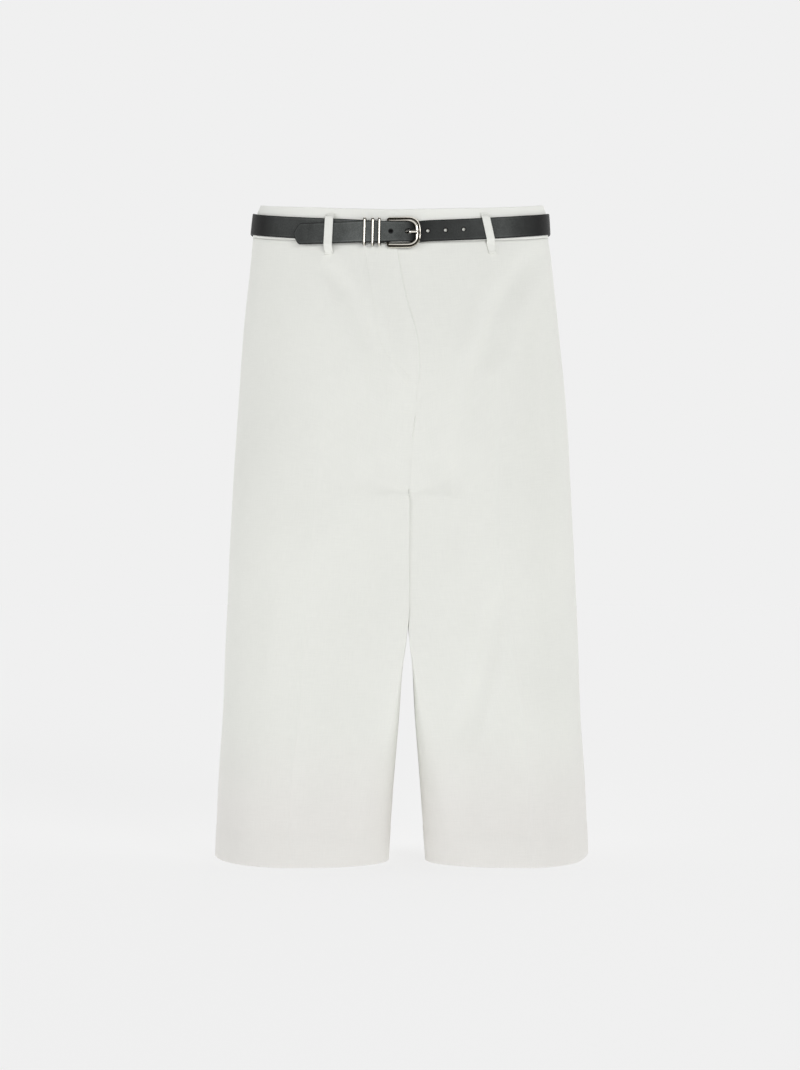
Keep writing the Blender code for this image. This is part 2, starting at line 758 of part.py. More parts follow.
def strap_path(waist):
    """The strap's middle line from its folded end round the waist to the tip.

    Returns the path along and off the cloth, its thickness, its half width and its sag.
    """
    bar = waist.along(BAR_X)
    turn = BAR_RADIUS + FOLD_CLEARANCE + 0.5 * FOLD_PLY
    fold = bar_curl(turn, -105.0, 90.0, 12) + np.array([bar, 0.0])
    first, past_bar, corner, tip = (waist.along(x) for x in (
        UNDER_LAYER[0].x, KEEPER_XS[-1], TIP_CORNER_X, TIP_X))
    tail_start = waist.along(TAIL_LAYER[1].x)
    once_round = waist.length
    s = np.sort(np.concatenate([
        np.linspace(first, tail_start - once_round, STRAP_STEPS),
        np.linspace(tail_start, past_bar, TAIL_START_STEPS + 1)[1:] - once_round,
        np.linspace(past_bar, tip, TAIL_END_STEPS + 1)[1:] - once_round,
        [corner - once_round]]))[::-1]
    knots = np.concatenate([waist.along(column(UNDER_LAYER, "x")),
                            waist.along(column(TAIL_LAYER, "x")) - once_round])
    layers = UNDER_LAYER + TAIL_LAYER
    lift = np.interp(-s, -knots, column(layers, "lift"))
    lift[1:-1] = np.convolve(lift, (0.25, 0.5, 0.25), "valid")
    sag = np.interp(-s, -knots, column(layers, "sag"))
    path = np.concatenate([fold, np.stack([s, lift], 1)])
    thickness = np.append(np.full(len(fold), FOLD_PLY), np.full(len(s), STRAP_THICKNESS))
    half = np.full(len(path), 0.5 * STRAP_WIDTH)
    half[:len(fold)] -= FOLD_NARROWING
    past_corner = path[:, 0] < corner - once_round
    left = (path[past_corner, 0] - (tip - once_round)) / (corner - tip)
    half[past_corner] *= TIP_HALF_SHARE + (1.0 - TIP_HALF_SHARE) * left
    return path, thickness, half, np.append(np.zeros(len(fold)), sag)


def build_strap(waist, leather):
    """Make the belt's strap with its punched holes and the slot for the prong."""
    path, thickness, half, sag = strap_path(waist)
    above, below = edge_lines(path, thickness)
    corners = [waist.place(line[:, 0], line[:, 1], way * half - sag)
               for line, way in ((above, 1.0), (below, 1.0), (below, -1.0), (above, -1.0))]
    strap = ring_object("belt", np.stack(corners, axis=1), False, leather)
    lifts = column(TAIL_LAYER, "lift")[::-1]
    xs = column(TAIL_LAYER, "x")[::-1]
    for hole in HOLES:
        floor = np.interp(hole.x, xs, lifts) - 0.5 * STRAP_THICKNESS - hole.past
        cut(strap, hole_cutter(waist, hole, floor))
    cut(strap, slot_cutter(waist))
    return strap


def hole_cutter(waist, hole, floor):
    """An oval pin that reaches from floor outwards past the strap."""
    turn = np.linspace(0.0, 2.0 * math.pi, HOLE_SIDES, endpoint=False)
    s = waist.along(hole.x) + hole.half_length * np.cos(turn)
    rings = [waist.place(s, np.full(HOLE_SIDES, lift), hole.half_height * np.sin(turn))
             for lift in (floor, floor + CUTTER_LENGTH)]
    return ring_object("cutter", np.stack(rings), False, None)


def slot_cutter(waist):
    """A box that frees the prong's curl in the strap's fold."""
    s = waist.along(np.array([SLOT_FROM_X, SLOT_TO_X, SLOT_TO_X, SLOT_FROM_X]))
    height = (0.5 * PRONG_WIDTH + SLOT_ROOM) * np.array([-1.0, -1.0, 1.0, 1.0])
    rings = [waist.place(s, np.full(4, lift), height) for lift in (SLOT_FLOOR, SLOT_TOP)]
    return ring_object("cutter", np.stack(rings), False, None)


def cut(part, cutter):
    """Subtract a cutter from a part."""
    modifier = part.modifiers.new("cut", "BOOLEAN")
    modifier.operation = "DIFFERENCE"
    modifier.object = cutter
    cutter.hide_render = True
    cutter.display_type = "WIRE"


def build_loops(waist, cloth):
    """Make the belt loops, each a flat strip that bridges the belt."""
    half_belt = 0.5 * STRAP_WIDTH
    middle = 0.5 * LOOP_THICKNESS
    for loop in LOOPS:
        low = LOOP_LIFT + middle
        high = loop.clear_lift + middle
        top = half_belt + middle + LOOP_EDGE_ROOM
        bottom = top + loop.sag_room
        foot = LOOP_FOOT_RUN + LOOP_FOOT_SLOPE * (high - low)
        path = np.array([
            (LOOP_TOP, low),
            (top + LOOP_TOP_RUN, low),
            (top, high),
            (0.0, high + LOOP_BULGE),
            (-bottom, high),
            (-bottom - foot, low),
            (LOOP_BOTTOM, low),
        ])
        start = waist.at_angle(loop.angle)

        def place(height, lift, across, start=start, lean=loop.lean):
            return waist.place(start + across + lean * height, lift, height)

        ribbon_object(loop.name, path, LOOP_THICKNESS, 0.5 * LOOP_WIDTH, place, cloth)


def rounded_loop(corners):
    """A closed outline through a table of corners in turn, each rounded by an arc."""
    places = np.array([corner[:2] for corner in corners])
    points = []
    for k, corner in enumerate(corners):
        before = places[k - 1] - places[k]
        after = places[(k + 1) % len(corners)] - places[k]
        before /= np.linalg.norm(before)
        after /= np.linalg.norm(after)
        half_angle = 0.5 * math.acos(np.clip(np.dot(before, after), -1.0, 1.0))
        run = corner.radius / math.tan(half_angle)
        inward = (before + after) / np.linalg.norm(before + after)
        middle = places[k] + inward * corner.radius / math.sin(half_angle)
        for t in np.linspace(0.0, 1.0, corner.steps):
            edge = places[k] + before * run * (1.0 - t) + after * run * t - middle
            points.append(middle + edge / np.linalg.norm(edge) * corner.radius)
    return np.array(points)


def build_keepers(waist, metal):
    """Make the three thin metal keepers that hold the tail on the strap."""
    low, high = KEEPER_LIFTS
    places = [(-KEEPER_HALF_HEIGHT, low), (KEEPER_HALF_HEIGHT, low),
              (KEEPER_HALF_HEIGHT, high), (-KEEPER_HALF_HEIGHT, high)]
    outline = rounded_loop([Corner(*place, KEEPER_CORNER, KEEPER_CORNER_STEPS)
                            for place in places])
    for number, x in enumerate(KEEPER_XS, start=1):
        start = waist.along(x)

        def place(height, lift, across, start=start):
            return waist.place(start + across, lift, height + KEEPER_SHIFT)

        ribbon_object(f"keeper_{number}", outline, KEEPER_THICKNESS, 0.5 * KEEPER_WIDTH,
                      place, metal, closed=True)


def build_frame(waist, metal):
    """Make the buckle's frame: a rounded D whose left side is the thin bar."""
    path = rounded_loop(FRAME_CORNERS)
    ahead = np.roll(path, -1, axis=0) - np.roll(path, 1, axis=0)
    ahead /= np.linalg.norm(ahead, axis=1, keepdims=True)
    out = np.stack([ahead[:, 1], -ahead[:, 0]], 1)
    share = np.clip((path[:, 0] - BAR_X) / (FRAME_OUTER_X - BAR_X), 0.0, 1.0)
    lift = BAR_LIFT + (FRAME_OUTER_LIFT - BAR_LIFT) * share
    half_wide = BAR_RADIUS + (0.5 * FRAME_WIDTH_OUTER - BAR_RADIUS) * share
    half_thick = BAR_RADIUS + (0.5 * FRAME_THICKNESS - BAR_RADIUS) * share
    turn = np.linspace(0.0, 2.0 * math.pi, FRAME_SIDES, endpoint=False)
    rings = []
    for angle in turn:
        flat = path + out * (half_wide * math.cos(angle))[:, None]
        rings.append(waist.place(waist.along(0.0) + flat[:, 0], lift + half_thick * math.sin(angle),
                                 flat[:, 1] + FRAME_SHIFT))
    return ring_object("buckle_frame", np.stack(rings, axis=1), True, metal)


def build_prong(waist, metal):
    """Make the prong: a strip curled round the bar, up through the hole, onto the frame."""
    turn = BAR_RADIUS + FOLD_CLEARANCE + 0.5 * PRONG_PLY
    curl = bar_curl(turn, PRONG_CURL_FROM, PRONG_CURL_TO, PRONG_CURL_STEPS)
    curl[:, 0] += waist.along(BAR_X)
    rise = np.stack([waist.along(column(PRONG_PLACES, "x")), column(PRONG_PLACES, "lift")], 1)
    path = np.concatenate([curl, rise])
    thickness = np.append(np.full(len(curl), PRONG_PLY), column(PRONG_PLACES, "thickness"))
    width = np.append(np.full(len(curl), PRONG_WIDTH), column(PRONG_PLACES, "width"))
    return ribbon_object("buckle_prong", path, thickness, 0.5 * width, waist.place, metal)


def clear_scene():
    """Remove every object of the scene."""
    for old in list(bpy.data.objects):
        bpy.data.objects.remove(old, do_unlink=True)


def main():
    """Build the whole garment."""
    clear_scene()
    cloth = new_material("cloth", CLOTH_COLOUR, 0.85, 0.0)
    leather = new_material("leather", LEATHER_COLOUR, 0.50, 0.0)
    metal = new_material("metal", METAL_COLOUR, 0.28, 1.0)
    for side in ("r", "l"):
        build_cloth(side, cloth)
    build_loops(Waist(0.0), cloth)
    waist = Waist(BELT_UPRIGHT_SHARE)
    build_strap(waist, leather)
    build_keepers(waist, metal)
    build_frame(waist, metal)
    build_prong(waist, metal)


main()
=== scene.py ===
"""Looks of the culottes and their belt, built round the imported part.

Lengths are metres in the part's own frame: +Z is up, the front faces -Y, +X is the wearer's
left, and the origin is the middle of the waist. Each cloth panel is the same surface as its
solid, sampled finely, with its seams rolled in, its hem turned up and its soft folds laid on.
"""

import logging
import math
from dataclasses import dataclass, field
from enum import Enum
from typing import Sequence

import bmesh
import bpy
import numpy as np
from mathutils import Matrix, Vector
from mathutils.bvhtree import BVHTree

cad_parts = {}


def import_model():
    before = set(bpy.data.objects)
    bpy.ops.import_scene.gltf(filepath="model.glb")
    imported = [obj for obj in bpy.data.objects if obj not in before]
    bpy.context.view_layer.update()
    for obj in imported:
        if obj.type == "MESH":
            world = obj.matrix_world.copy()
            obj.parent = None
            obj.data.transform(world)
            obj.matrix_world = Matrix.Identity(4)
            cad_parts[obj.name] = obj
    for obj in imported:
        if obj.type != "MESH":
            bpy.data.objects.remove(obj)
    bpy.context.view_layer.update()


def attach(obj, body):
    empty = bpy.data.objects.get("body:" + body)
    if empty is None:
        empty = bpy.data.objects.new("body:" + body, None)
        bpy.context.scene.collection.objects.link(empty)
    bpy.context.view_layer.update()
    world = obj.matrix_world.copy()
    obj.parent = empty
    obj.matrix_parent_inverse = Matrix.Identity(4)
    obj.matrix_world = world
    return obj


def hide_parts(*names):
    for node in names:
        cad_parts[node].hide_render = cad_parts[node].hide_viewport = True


Array = np.ndarray
Thing = bpy.types.Object
Material = bpy.types.Material
Socket = bpy.types.NodeSocket
Pair = tuple[float, float]
Triple = tuple[float, float, float]
LOG = logging.getLogger("culottes")
TAU = 2.0 * math.pi
BAR_X = -0.0141
BAR_LIFT = 0.00315
BUCKLE_DOWN = -0.0022
METAL_SHARP = 60.0


class Side(Enum):
    """The wearer's right or left."""

    RIGHT = "r"
    LEFT = "l"

    @property
    def sign(self) -> float:
        """Sign of x on this side."""
        return 1.0 if self is Side.LEFT else -1.0

    @property
    def word(self) -> str:
        """The side's name in a piece's name."""
        return "left" if self is Side.LEFT else "right"


class Face(Enum):
    """Front or back of the garment."""

    FRONT = "front"
    BACK = "back"

    @property
    def toward(self) -> float:
        """Sign of y on this face."""
        return -1.0 if self is Face.FRONT else 1.0


def unit(vectors: Array) -> Array:
    """Vectors divided by their lengths."""
    return vectors / np.maximum(np.linalg.norm(vectors, axis=-1, keepdims=True), 1e-12)


def ease(value: Array, low: float, high: float) -> Array:
    """Smooth step from 0 at low to 1 at high, 3t^2 - 2t^3 of the share t between them."""
    t = np.clip((value - low) / (high - low), 0.0, 1.0)
    return t * t * (3.0 - 2.0 * t)


def bell(distance: Array, width: float) -> Array:
    """Bell curve exp(-(d/w)^2)."""
    return np.exp(-((distance / width) ** 2))


def smoothed(values: Array, passes: int) -> Array:
    """Repeated running mean with weights 1/4, 1/2, 1/4, with both ends kept."""
    values = values.copy()
    for _ in range(passes):
        values[1:-1] = 0.25 * values[:-2] + 0.5 * values[1:-1] + 0.25 * values[2:]
    return values


def run_lengths(points: Array, axis: int = 0) -> Array:
    """Distance run along rows of points, from 0 at the first one."""
    steps = np.linalg.norm(np.diff(points, axis=axis), axis=-1)
    start = np.zeros_like(np.take(steps, [0], axis=axis))
    return np.concatenate([start, np.cumsum(steps, axis=axis)], axis=axis)


def from_column(grid: Array, column: int) -> Array:
    """Distance of each point of a grid from its own row's point in one column."""
    return np.linalg.norm(grid - grid[:, column : column + 1], axis=-1)


def resampled(line: Array, count: int, passes: int) -> Array:
    """A line of points taken again at even steps along it, then smoothed in some passes."""
    run = run_lengths(line)
    at = np.linspace(0.0, run[-1], count)
    return np.stack([smoothed(np.interp(at, run, column), passes) for column in line.T], 1)


def paired(first: Array | float, second: Array | float) -> Array:
    """Two arrays spread to one shape and put side by side in a last axis."""
    return np.stack(np.broadcast_arrays(first, second), -1)


def beside(path: Array, offset: Array, closed: bool = False) -> tuple[Array, Array]:
    """Points set off a plane path, square to it: (p, q) + offset (q', -p').

    Args:
        path: its points (p, q).
        offset: how far off, by point of the path and place round a section.
        closed: True where the path's last point joins its first.

    Returns:
        First and second coordinates, in the shape of the offsets.
    """
    if closed:
        ahead = unit(np.roll(path, -1, axis=0) - np.roll(path, 1, axis=0))
    else:
        ahead = unit(np.gradient(path, axis=0))
    return path[:, :1] + ahead[:, 1:] * offset, path[:, 1:] - ahead[:, :1] * offset


def circle_arc(
    x: float, y: float, radius: float, start: float, end: float, count: int
) -> Array:
    """Points on a circle's arc round (x, y), between two angles in degrees."""
    turn = np.radians(np.linspace(start, end, count))
    return np.stack([x + radius * np.cos(turn), y + radius * np.sin(turn)], 1)


def past_last(outline: Array, step: float) -> Array:
    """Distances round a closed outline, with one more for the step back to its start."""
    run = run_lengths(outline)
    return np.append(run, run[-1] + step)


@dataclass(frozen=True)
class Table:
    """Measures of the form taken at heights, each read along a smooth curve."""

    names: tuple[str, ...]
    rows: tuple[tuple[float, ...], ...]

    def read(self, name: str, z: Array) -> Array:
        """Value of one measure at heights z.

        Between two rows it is the cubic whose slope at each row is that of the chord from
        the row before to the row after.

        Args:
            name: the measure.
            z: heights.

        Returns:
            The values, in the shape of z.
        """
        table = np.array(self.rows)[::-1]
        heights, values = table[:, 0], table[:, self.names.index(name)]
        slopes = np.gradient(values, heights)
        z = np.clip(z, heights[0], heights[-1])
        k = np.clip(np.searchsorted(heights, z) - 1, 0, len(heights) - 2)
        step = heights[k + 1] - heights[k]
        t = (z - heights[k]) / step
        rise = values[k + 1] - values[k]
        start, end = slopes[k] * step, slopes[k + 1] * step
        square, cube = 3 * rise - 2 * start - end, start + end - 2 * rise
        return values[k] + t * (start + t * (square + t * cube))


# The side seams: how far out each is, and how far behind the middle it has moved.
SEAMS = Table(
    ("z", "out_r", "out_l", "depth_r", "depth_l"),
    (
        (0.030, 0.1430, 0.1442, 0.000, 0.000),
        (0.0198, 0.1472, 0.1475, 0.000, 0.000),
        (0.0126, 0.1500, 0.1496, 0.000, 0.000),
        (0.000, 0.1536, 0.1512, 0.000, 0.000),
        (-0.020, 0.1561, 0.1533, 0.000, 0.000),
        (-0.053, 0.1594, 0.1572, 0.001, 0.001),
        (-0.104, 0.1650, 0.1630, 0.002, 0.002),
        (-0.179, 0.1705, 0.1697, 0.003, 0.004),
        (-0.267, 0.1754, 0.1759, 0.004, 0.008),
        (-0.393, 0.1817, 0.1820, 0.006, 0.016),
        (-0.518, 0.1878, 0.1884, 0.009, 0.027),
        (-0.581, 0.1927, 0.1938, 0.012, 0.034),
        (-0.659, 0.1956, 0.1973, 0.014, 0.040),
    ),
)
# The seat: how deep it is from the middle to the front and to the back.
TORSOS = Table(
    ("z", "front", "back"),
    (
        (0.030, 0.0840, 0.0800),
        (0.000, 0.0875, 0.0835),
        (-0.030, 0.0900, 0.0870),
        (-0.080, 0.0965, 0.0985),
        (-0.130, 0.1025, 0.1100),
        (-0.180, 0.1060, 0.1175),
        (-0.230, 0.1065, 0.1190),
        (-0.285, 0.1060, 0.1165),
        (-0.370, 0.1045, 0.1120),
    ),
)
# The legs: where the creases are and how deep the front and back are there; where the inner
# corners are across and in depth; the power of the outer curve, and one over that of the
# inner curve, so that a small inner_turn is a square corner.
LEGS = Table(
    (
        "z", "crease_r", "crease_l", "front", "back", "inner_r", "inner_l", "inner_depth",
        "outer_round", "inner_turn",
    ),
    (
        (0.030, -0.0650, 0.0820, 0.0900, 0.0960, 0.0063, 0.0067, 0.004, 2.70, 0.0050),
        (-0.040, -0.0698, 0.0880, 0.0940, 0.1010, 0.0063, 0.0067, 0.004, 2.70, 0.0050),
        (-0.180, -0.0790, 0.0960, 0.0990, 0.1080, 0.0063, 0.0067, 0.004, 2.70, 0.0050),
        (-0.285, -0.0864, 0.0975, 0.1005, 0.1095, 0.0063, 0.0067, 0.004, 2.65, 0.0050),
        (-0.350, -0.0925, 0.0985, 0.1000, 0.1080, 0.0063, 0.0067, 0.000, 2.45, 0.0050),
        (-0.395, -0.0961, 0.1043, 0.0991, 0.1067, 0.0062, 0.0067, -0.005, 2.31, 0.0055),
        (-0.430, -0.0983, 0.1097, 0.0982, 0.1056, 0.0047, 0.0072, -0.008, 2.25, 0.0075),
        (-0.455, -0.1000, 0.1130, 0.0975, 0.1045, 0.0012, 0.0101, -0.010, 2.20, 0.0180),
        (-0.518, -0.1050, 0.1240, 0.0960, 0.1020, -0.0028, 0.0130, -0.016, 2.12, 0.1100),
        (-0.581, -0.1125, 0.1275, 0.0950, 0.0995, -0.0072, 0.0172, -0.022, 2.08, 0.2600),
        (-0.659, -0.1145, 0.1310, 0.0935, 0.0965, -0.0122, 0.0225, -0.028, 2.05, 0.4300),
    ),
)
# The centre front seam: how far to the wearer's left it is.
MIDDLES = Table(
    ("z", "x"),
    (
        (0.030, -0.0090),
        (-0.030, -0.0065),
        (-0.080, 0.0020),
        (-0.130, 0.0150),
        (-0.175, 0.0155),
        (-0.230, 0.0100),
        (-0.285, 0.0065),
    ),
)


@dataclass(frozen=True)
class Form:
    """The filled-out form that the cloth lies on."""

    crotch: float = -0.285
    hem: float = -0.659
    top_front: float = 0.0048
    top_side: float = 0.0196
    top_back: float = 0.0233
    top_even_rise: float = 0.0090
    band: float = 0.034
    torso_round: float = 2.25
    rise_top_front: float = -0.279
    rise_top_back: float = -0.266
    leg_from: float = -0.100
    leg_to: float = -0.370
    draw_to: float = -0.210
    drawn_share: float = 0.008
    drawn_power: float = 0.85
    inner_side: float = 0.45
    inner_slant: float = 0.0018
    back_shift: float = 0.0065
    back_shift_to: float = -0.270
    rise_from: float = -0.030
    rise_samples: int = 400

    def arch(self, angle: Array, roundness: Array | float) -> tuple[Array, Array]:
        """Unit superellipse at a polar angle from its top: sideways and upward parts."""
        across, up = np.sin(angle), np.cos(angle)
        radius = (np.abs(across) ** roundness + np.abs(up) ** roundness) ** (-1.0 / roundness)
        return radius * across, radius * up

    def angle_at(self, share: Array) -> Array:
        """Polar angle at which the seat's superellipse is a share of its half width out."""
        share = np.clip(share, -0.999, 0.999)
        up = (1.0 - np.abs(share) ** self.torso_round) ** (1.0 / self.torso_round)
        return np.arctan2(share, up)

    def torso(self, angle: Array, z: Array) -> Array:
        """Point of the seat's surface at an angle round from the front and a height."""
        across, up = self.arch(angle, self.torso_round)
        left = np.sin(angle) >= 0.0
        half, seam = (
            np.where(left, SEAMS.read(name + "_l", z), SEAMS.read(name + "_r", z))
            for name in ("out", "depth")
        )
        ahead = np.cos(angle) >= 0.0
        depth = np.where(ahead, TORSOS.read("front", z) + seam, TORSOS.read("back", z) - seam)
        return np.stack([half * across, seam - depth * up, z + 0.0 * angle], axis=-1)

    def top(self, angle: Array) -> Array:
        """Height of the waist's top edge at an angle round from the front."""
        out = np.abs(np.sin(angle))
        front = self.top_front + self.top_even_rise * out**1.6
        front = front + (self.top_side - self.top_front - self.top_even_rise) * out**8
        back = self.top_back + (self.top_side - self.top_back) * out**2
        return np.where(np.cos(angle) >= 0.0, front, back)

    def rise_share(self, z: Array, face: Face) -> Array:
        """How far the centre seam has curved under to the crotch, 0 to 1, a quarter ellipse."""
        top = self.rise_top_front if face is Face.FRONT else self.rise_top_back
        t = np.clip((top - z) / (top - self.crotch), 0.0, 1.0)
        return 1.0 - np.sqrt(1.0 - t * t)

    def drawn_in(self, t: Array, z: Array) -> Array:
        """Share of the way out from the centre seam, as the columns draw in to it.

        Lower down half of them stay by the seam, where they turn in as the leg's inner side.
        """
        outward = np.clip(2.0 * t - 1.0, 0.0, 1.0) ** self.drawn_power
        gathered = self.drawn_share * np.minimum(2.0 * t, 1.0) + (1.0 - self.drawn_share) * outward
        return t + (gathered - t) * ease(-z, -self.leg_from, -self.draw_to)

    def section(self, side: Side, face: Face, outer: bool, t: Array, z: Array) -> Array:
        """Points of a panel: the seat's section turning smoothly into the leg's.

        Args:
            side: which leg.
            face: front or back.
            outer: True from crease to side seam, False from centre to crease.
            t: share of that stretch, 0 at the centre or the crease.
            z: heights, in the shape of t.

        Returns:
            Points, with one more axis than t.
        """
        sign, toward = side.sign, face.toward
        half = SEAMS.read("out_" + side.value, z)
        seam = SEAMS.read("depth_" + side.value, z)
        crease = sign * LEGS.read("crease_" + side.value, z)
        depth = TORSOS.read(face.value, z) - toward * seam
        crease_y = toward * LEGS.read(face.value, z)
        share = ease(-z, -self.leg_from, -self.leg_to)
        middle = self.angle_at(crease / half)
        if outer:
            across, up = self.arch(middle + (0.5 * math.pi - middle) * t, self.torso_round)
            torso_x, torso_y = sign * half * across, seam + toward * depth * up
            across, up = self.arch(0.5 * math.pi * t, LEGS.read("outer_round", z))
            x = torso_x + (sign * (crease + (half - crease) * across) - torso_x) * share
            y = torso_y + (seam + (crease_y - seam) * up - torso_y) * share
            return np.stack([x, y, z], axis=-1)
        shifted = self.back_shift * ease(-z, -self.leg_from, -self.back_shift_to)
        centre = sign * (MIDDLES.read("x", z) if face is Face.FRONT else shifted)
        start = self.angle_at(centre / half)
        across, _ = self.arch(start + (middle - start) * self.drawn_in(t, z), self.torso_round)
        torso_x = sign * half * across
        inner, inner_y = LEGS.read("inner_" + side.value, z), LEGS.read("inner_depth", z)
        across, up = self.arch(0.5 * math.pi * (1.0 - t), 1.0 / LEGS.read("inner_turn", z))
        slant = sign * self.inner_slant * (1.0 - up)
        leg_x = sign * crease + (inner - sign * crease) * across + slant
        by_seam = 1.0 - ease(t, self.inner_side, 1.0)
        turned = self.rise_share(z, face)
        x = torso_x + (leg_x - torso_x) * (share + (turned - share) * by_seam)
        _, up_seat = self.arch(self.angle_at(sign * x / half), self.torso_round)
        torso_y = seam + toward * depth * up_seat
        flat_y = torso_y + (crease_y - torso_y) * share
        y = flat_y + (inner_y - flat_y) * (1.0 - up) * turned * by_seam
        return np.stack([x, y, z], axis=-1)

    def rise_steps(self, face: Face, count: int) -> Array:
        """Shares of the way down to the crotch at even steps along the centre seam's curve."""
        share = np.sqrt(np.linspace(0.0, 1.0, self.rise_samples))
        z = share * (self.crotch - self.rise_from) + self.rise_from
        depth = TORSOS.read(face.value, z) * (1.0 - self.rise_share(z, face))
        length = np.append(0.0, np.cumsum(np.hypot(np.diff(z), np.diff(depth))))
        curve = np.interp(np.linspace(0.0, length[-1], count + 1), length, z)
        return (curve - curve[0]) / (curve[-1] - curve[0])


@dataclass(frozen=True)
class Fold:
    """A soft trough, or a ridge where its depth is negative, along points (x, z)."""

    face: Face
    width: float
    depth: float
    points: tuple[Pair, ...]
    samples: int = 160
    softening: int = 60
    bank: float = 0.30
    bank_at: float = 1.9
    bank_width: float = 0.9

    def lift(self, x: Array, z: Array) -> Array:
        """Height added to the surface: minus a bell of the distance, with low banks beside it.

        Args:
            x: places across.
            z: heights.

        Returns:
            The lift, faded out as a half sine towards both ends of the line.
        """
        line = resampled(np.array(self.points), self.samples, self.softening)
        near = np.hypot(x[..., None] - line[:, 0], z[..., None] - line[:, 1])
        distance = near.min(axis=-1)
        place = near.argmin(axis=-1) / (self.samples - 1.0)
        fade = np.sin(math.pi * np.clip(place, 0.02, 0.98)) ** 0.6
        banks = self.bank * bell(distance - self.bank_at * self.width, self.bank_width * self.width)
        return -self.depth * fade * (bell(distance, self.width) - banks)


F, B = Face.FRONT, Face.BACK
FOLDS = {
    Side.LEFT: (
        Fold(F, 0.011, 0.0045, ((0.134, -0.036), (0.116, -0.066), (0.099, -0.090), (0.088, -0.136),
                                (0.076, -0.152), (0.072, -0.214))),
        Fold(F, 0.009, 0.0036, ((0.096, -0.384), (0.088, -0.420), (0.081, -0.468), (0.068, -0.512),
                                (0.058, -0.536))),
        Fold(F, 0.007, 0.0016, ((0.054, -0.296), (0.052, -0.330), (0.048, -0.354))),
        Fold(F, 0.010, 0.0015, ((0.048, -0.246), (0.050, -0.268), (0.053, -0.288))),
        Fold(F, 0.012, -0.0018, ((0.030, -0.170), (0.034, -0.280), (0.038, -0.400))),
        Fold(F, 0.013, 0.0018, ((0.060, -0.540), (0.064, -0.600), (0.062, -0.650))),
        Fold(F, 0.010, 0.0019, ((0.151, -0.110), (0.152, -0.180), (0.157, -0.262))),
        Fold(B, 0.013, 0.0030, ((0.030, -0.280), (0.060, -0.315), (0.098, -0.338))),
        Fold(B, 0.012, 0.0022, ((0.026, -0.325), (0.052, -0.372), (0.078, -0.430))),
        Fold(B, 0.016, 0.0024, ((0.142, -0.110), (0.128, -0.200), (0.124, -0.300))),
        Fold(B, 0.014, 0.0022, ((0.060, -0.420), (0.066, -0.520), (0.060, -0.640))),
        Fold(B, 0.015, 0.0020, ((0.160, -0.400), (0.164, -0.500), (0.166, -0.640))),
    ),
    Side.RIGHT: (
        Fold(F, 0.011, 0.0030, ((-0.060, -0.060), (-0.043, -0.108), (-0.028, -0.139),
                                (-0.029, -0.200), (-0.018, -0.274))),
        Fold(F, 0.008, 0.0016, ((-0.075, -0.050), (-0.064, -0.072), (-0.056, -0.084))),
        Fold(F, 0.012, -0.0015, ((-0.050, -0.215), (-0.052, -0.280), (-0.052, -0.340))),
        Fold(F, 0.012, 0.0019, ((-0.029, -0.330), (-0.033, -0.420), (-0.030, -0.520))),
        Fold(F, 0.013, 0.0021, ((-0.150, -0.300), (-0.152, -0.420), (-0.150, -0.560))),
        Fold(F, 0.013, 0.0018, ((-0.062, -0.520), (-0.058, -0.590), (-0.060, -0.650))),
        Fold(F, 0.010, 0.0016, ((-0.142, -0.050), (-0.136, -0.090), (-0.128, -0.120))),
        Fold(B, 0.013, 0.0030, ((-0.028, -0.282), (-0.056, -0.318), (-0.094, -0.344))),
        Fold(B, 0.012, 0.0022, ((-0.024, -0.330), (-0.048, -0.378), (-0.070, -0.440))),
        Fold(B, 0.016, 0.0024, ((-0.140, -0.120), (-0.126, -0.210), (-0.120, -0.310))),
        Fold(B, 0.014, 0.0022, ((-0.052, -0.430), (-0.056, -0.530), (-0.050, -0.640))),
        Fold(B, 0.015, 0.0020, ((-0.158, -0.410), (-0.160, -0.510), (-0.162, -0.640))),
    ),
}


@dataclass(frozen=True)
class Wave:
    """A slow wave of the cloth: radians a metre across and up, its phase and its size."""

    across: float
    up: float
    phase: float
    size: float


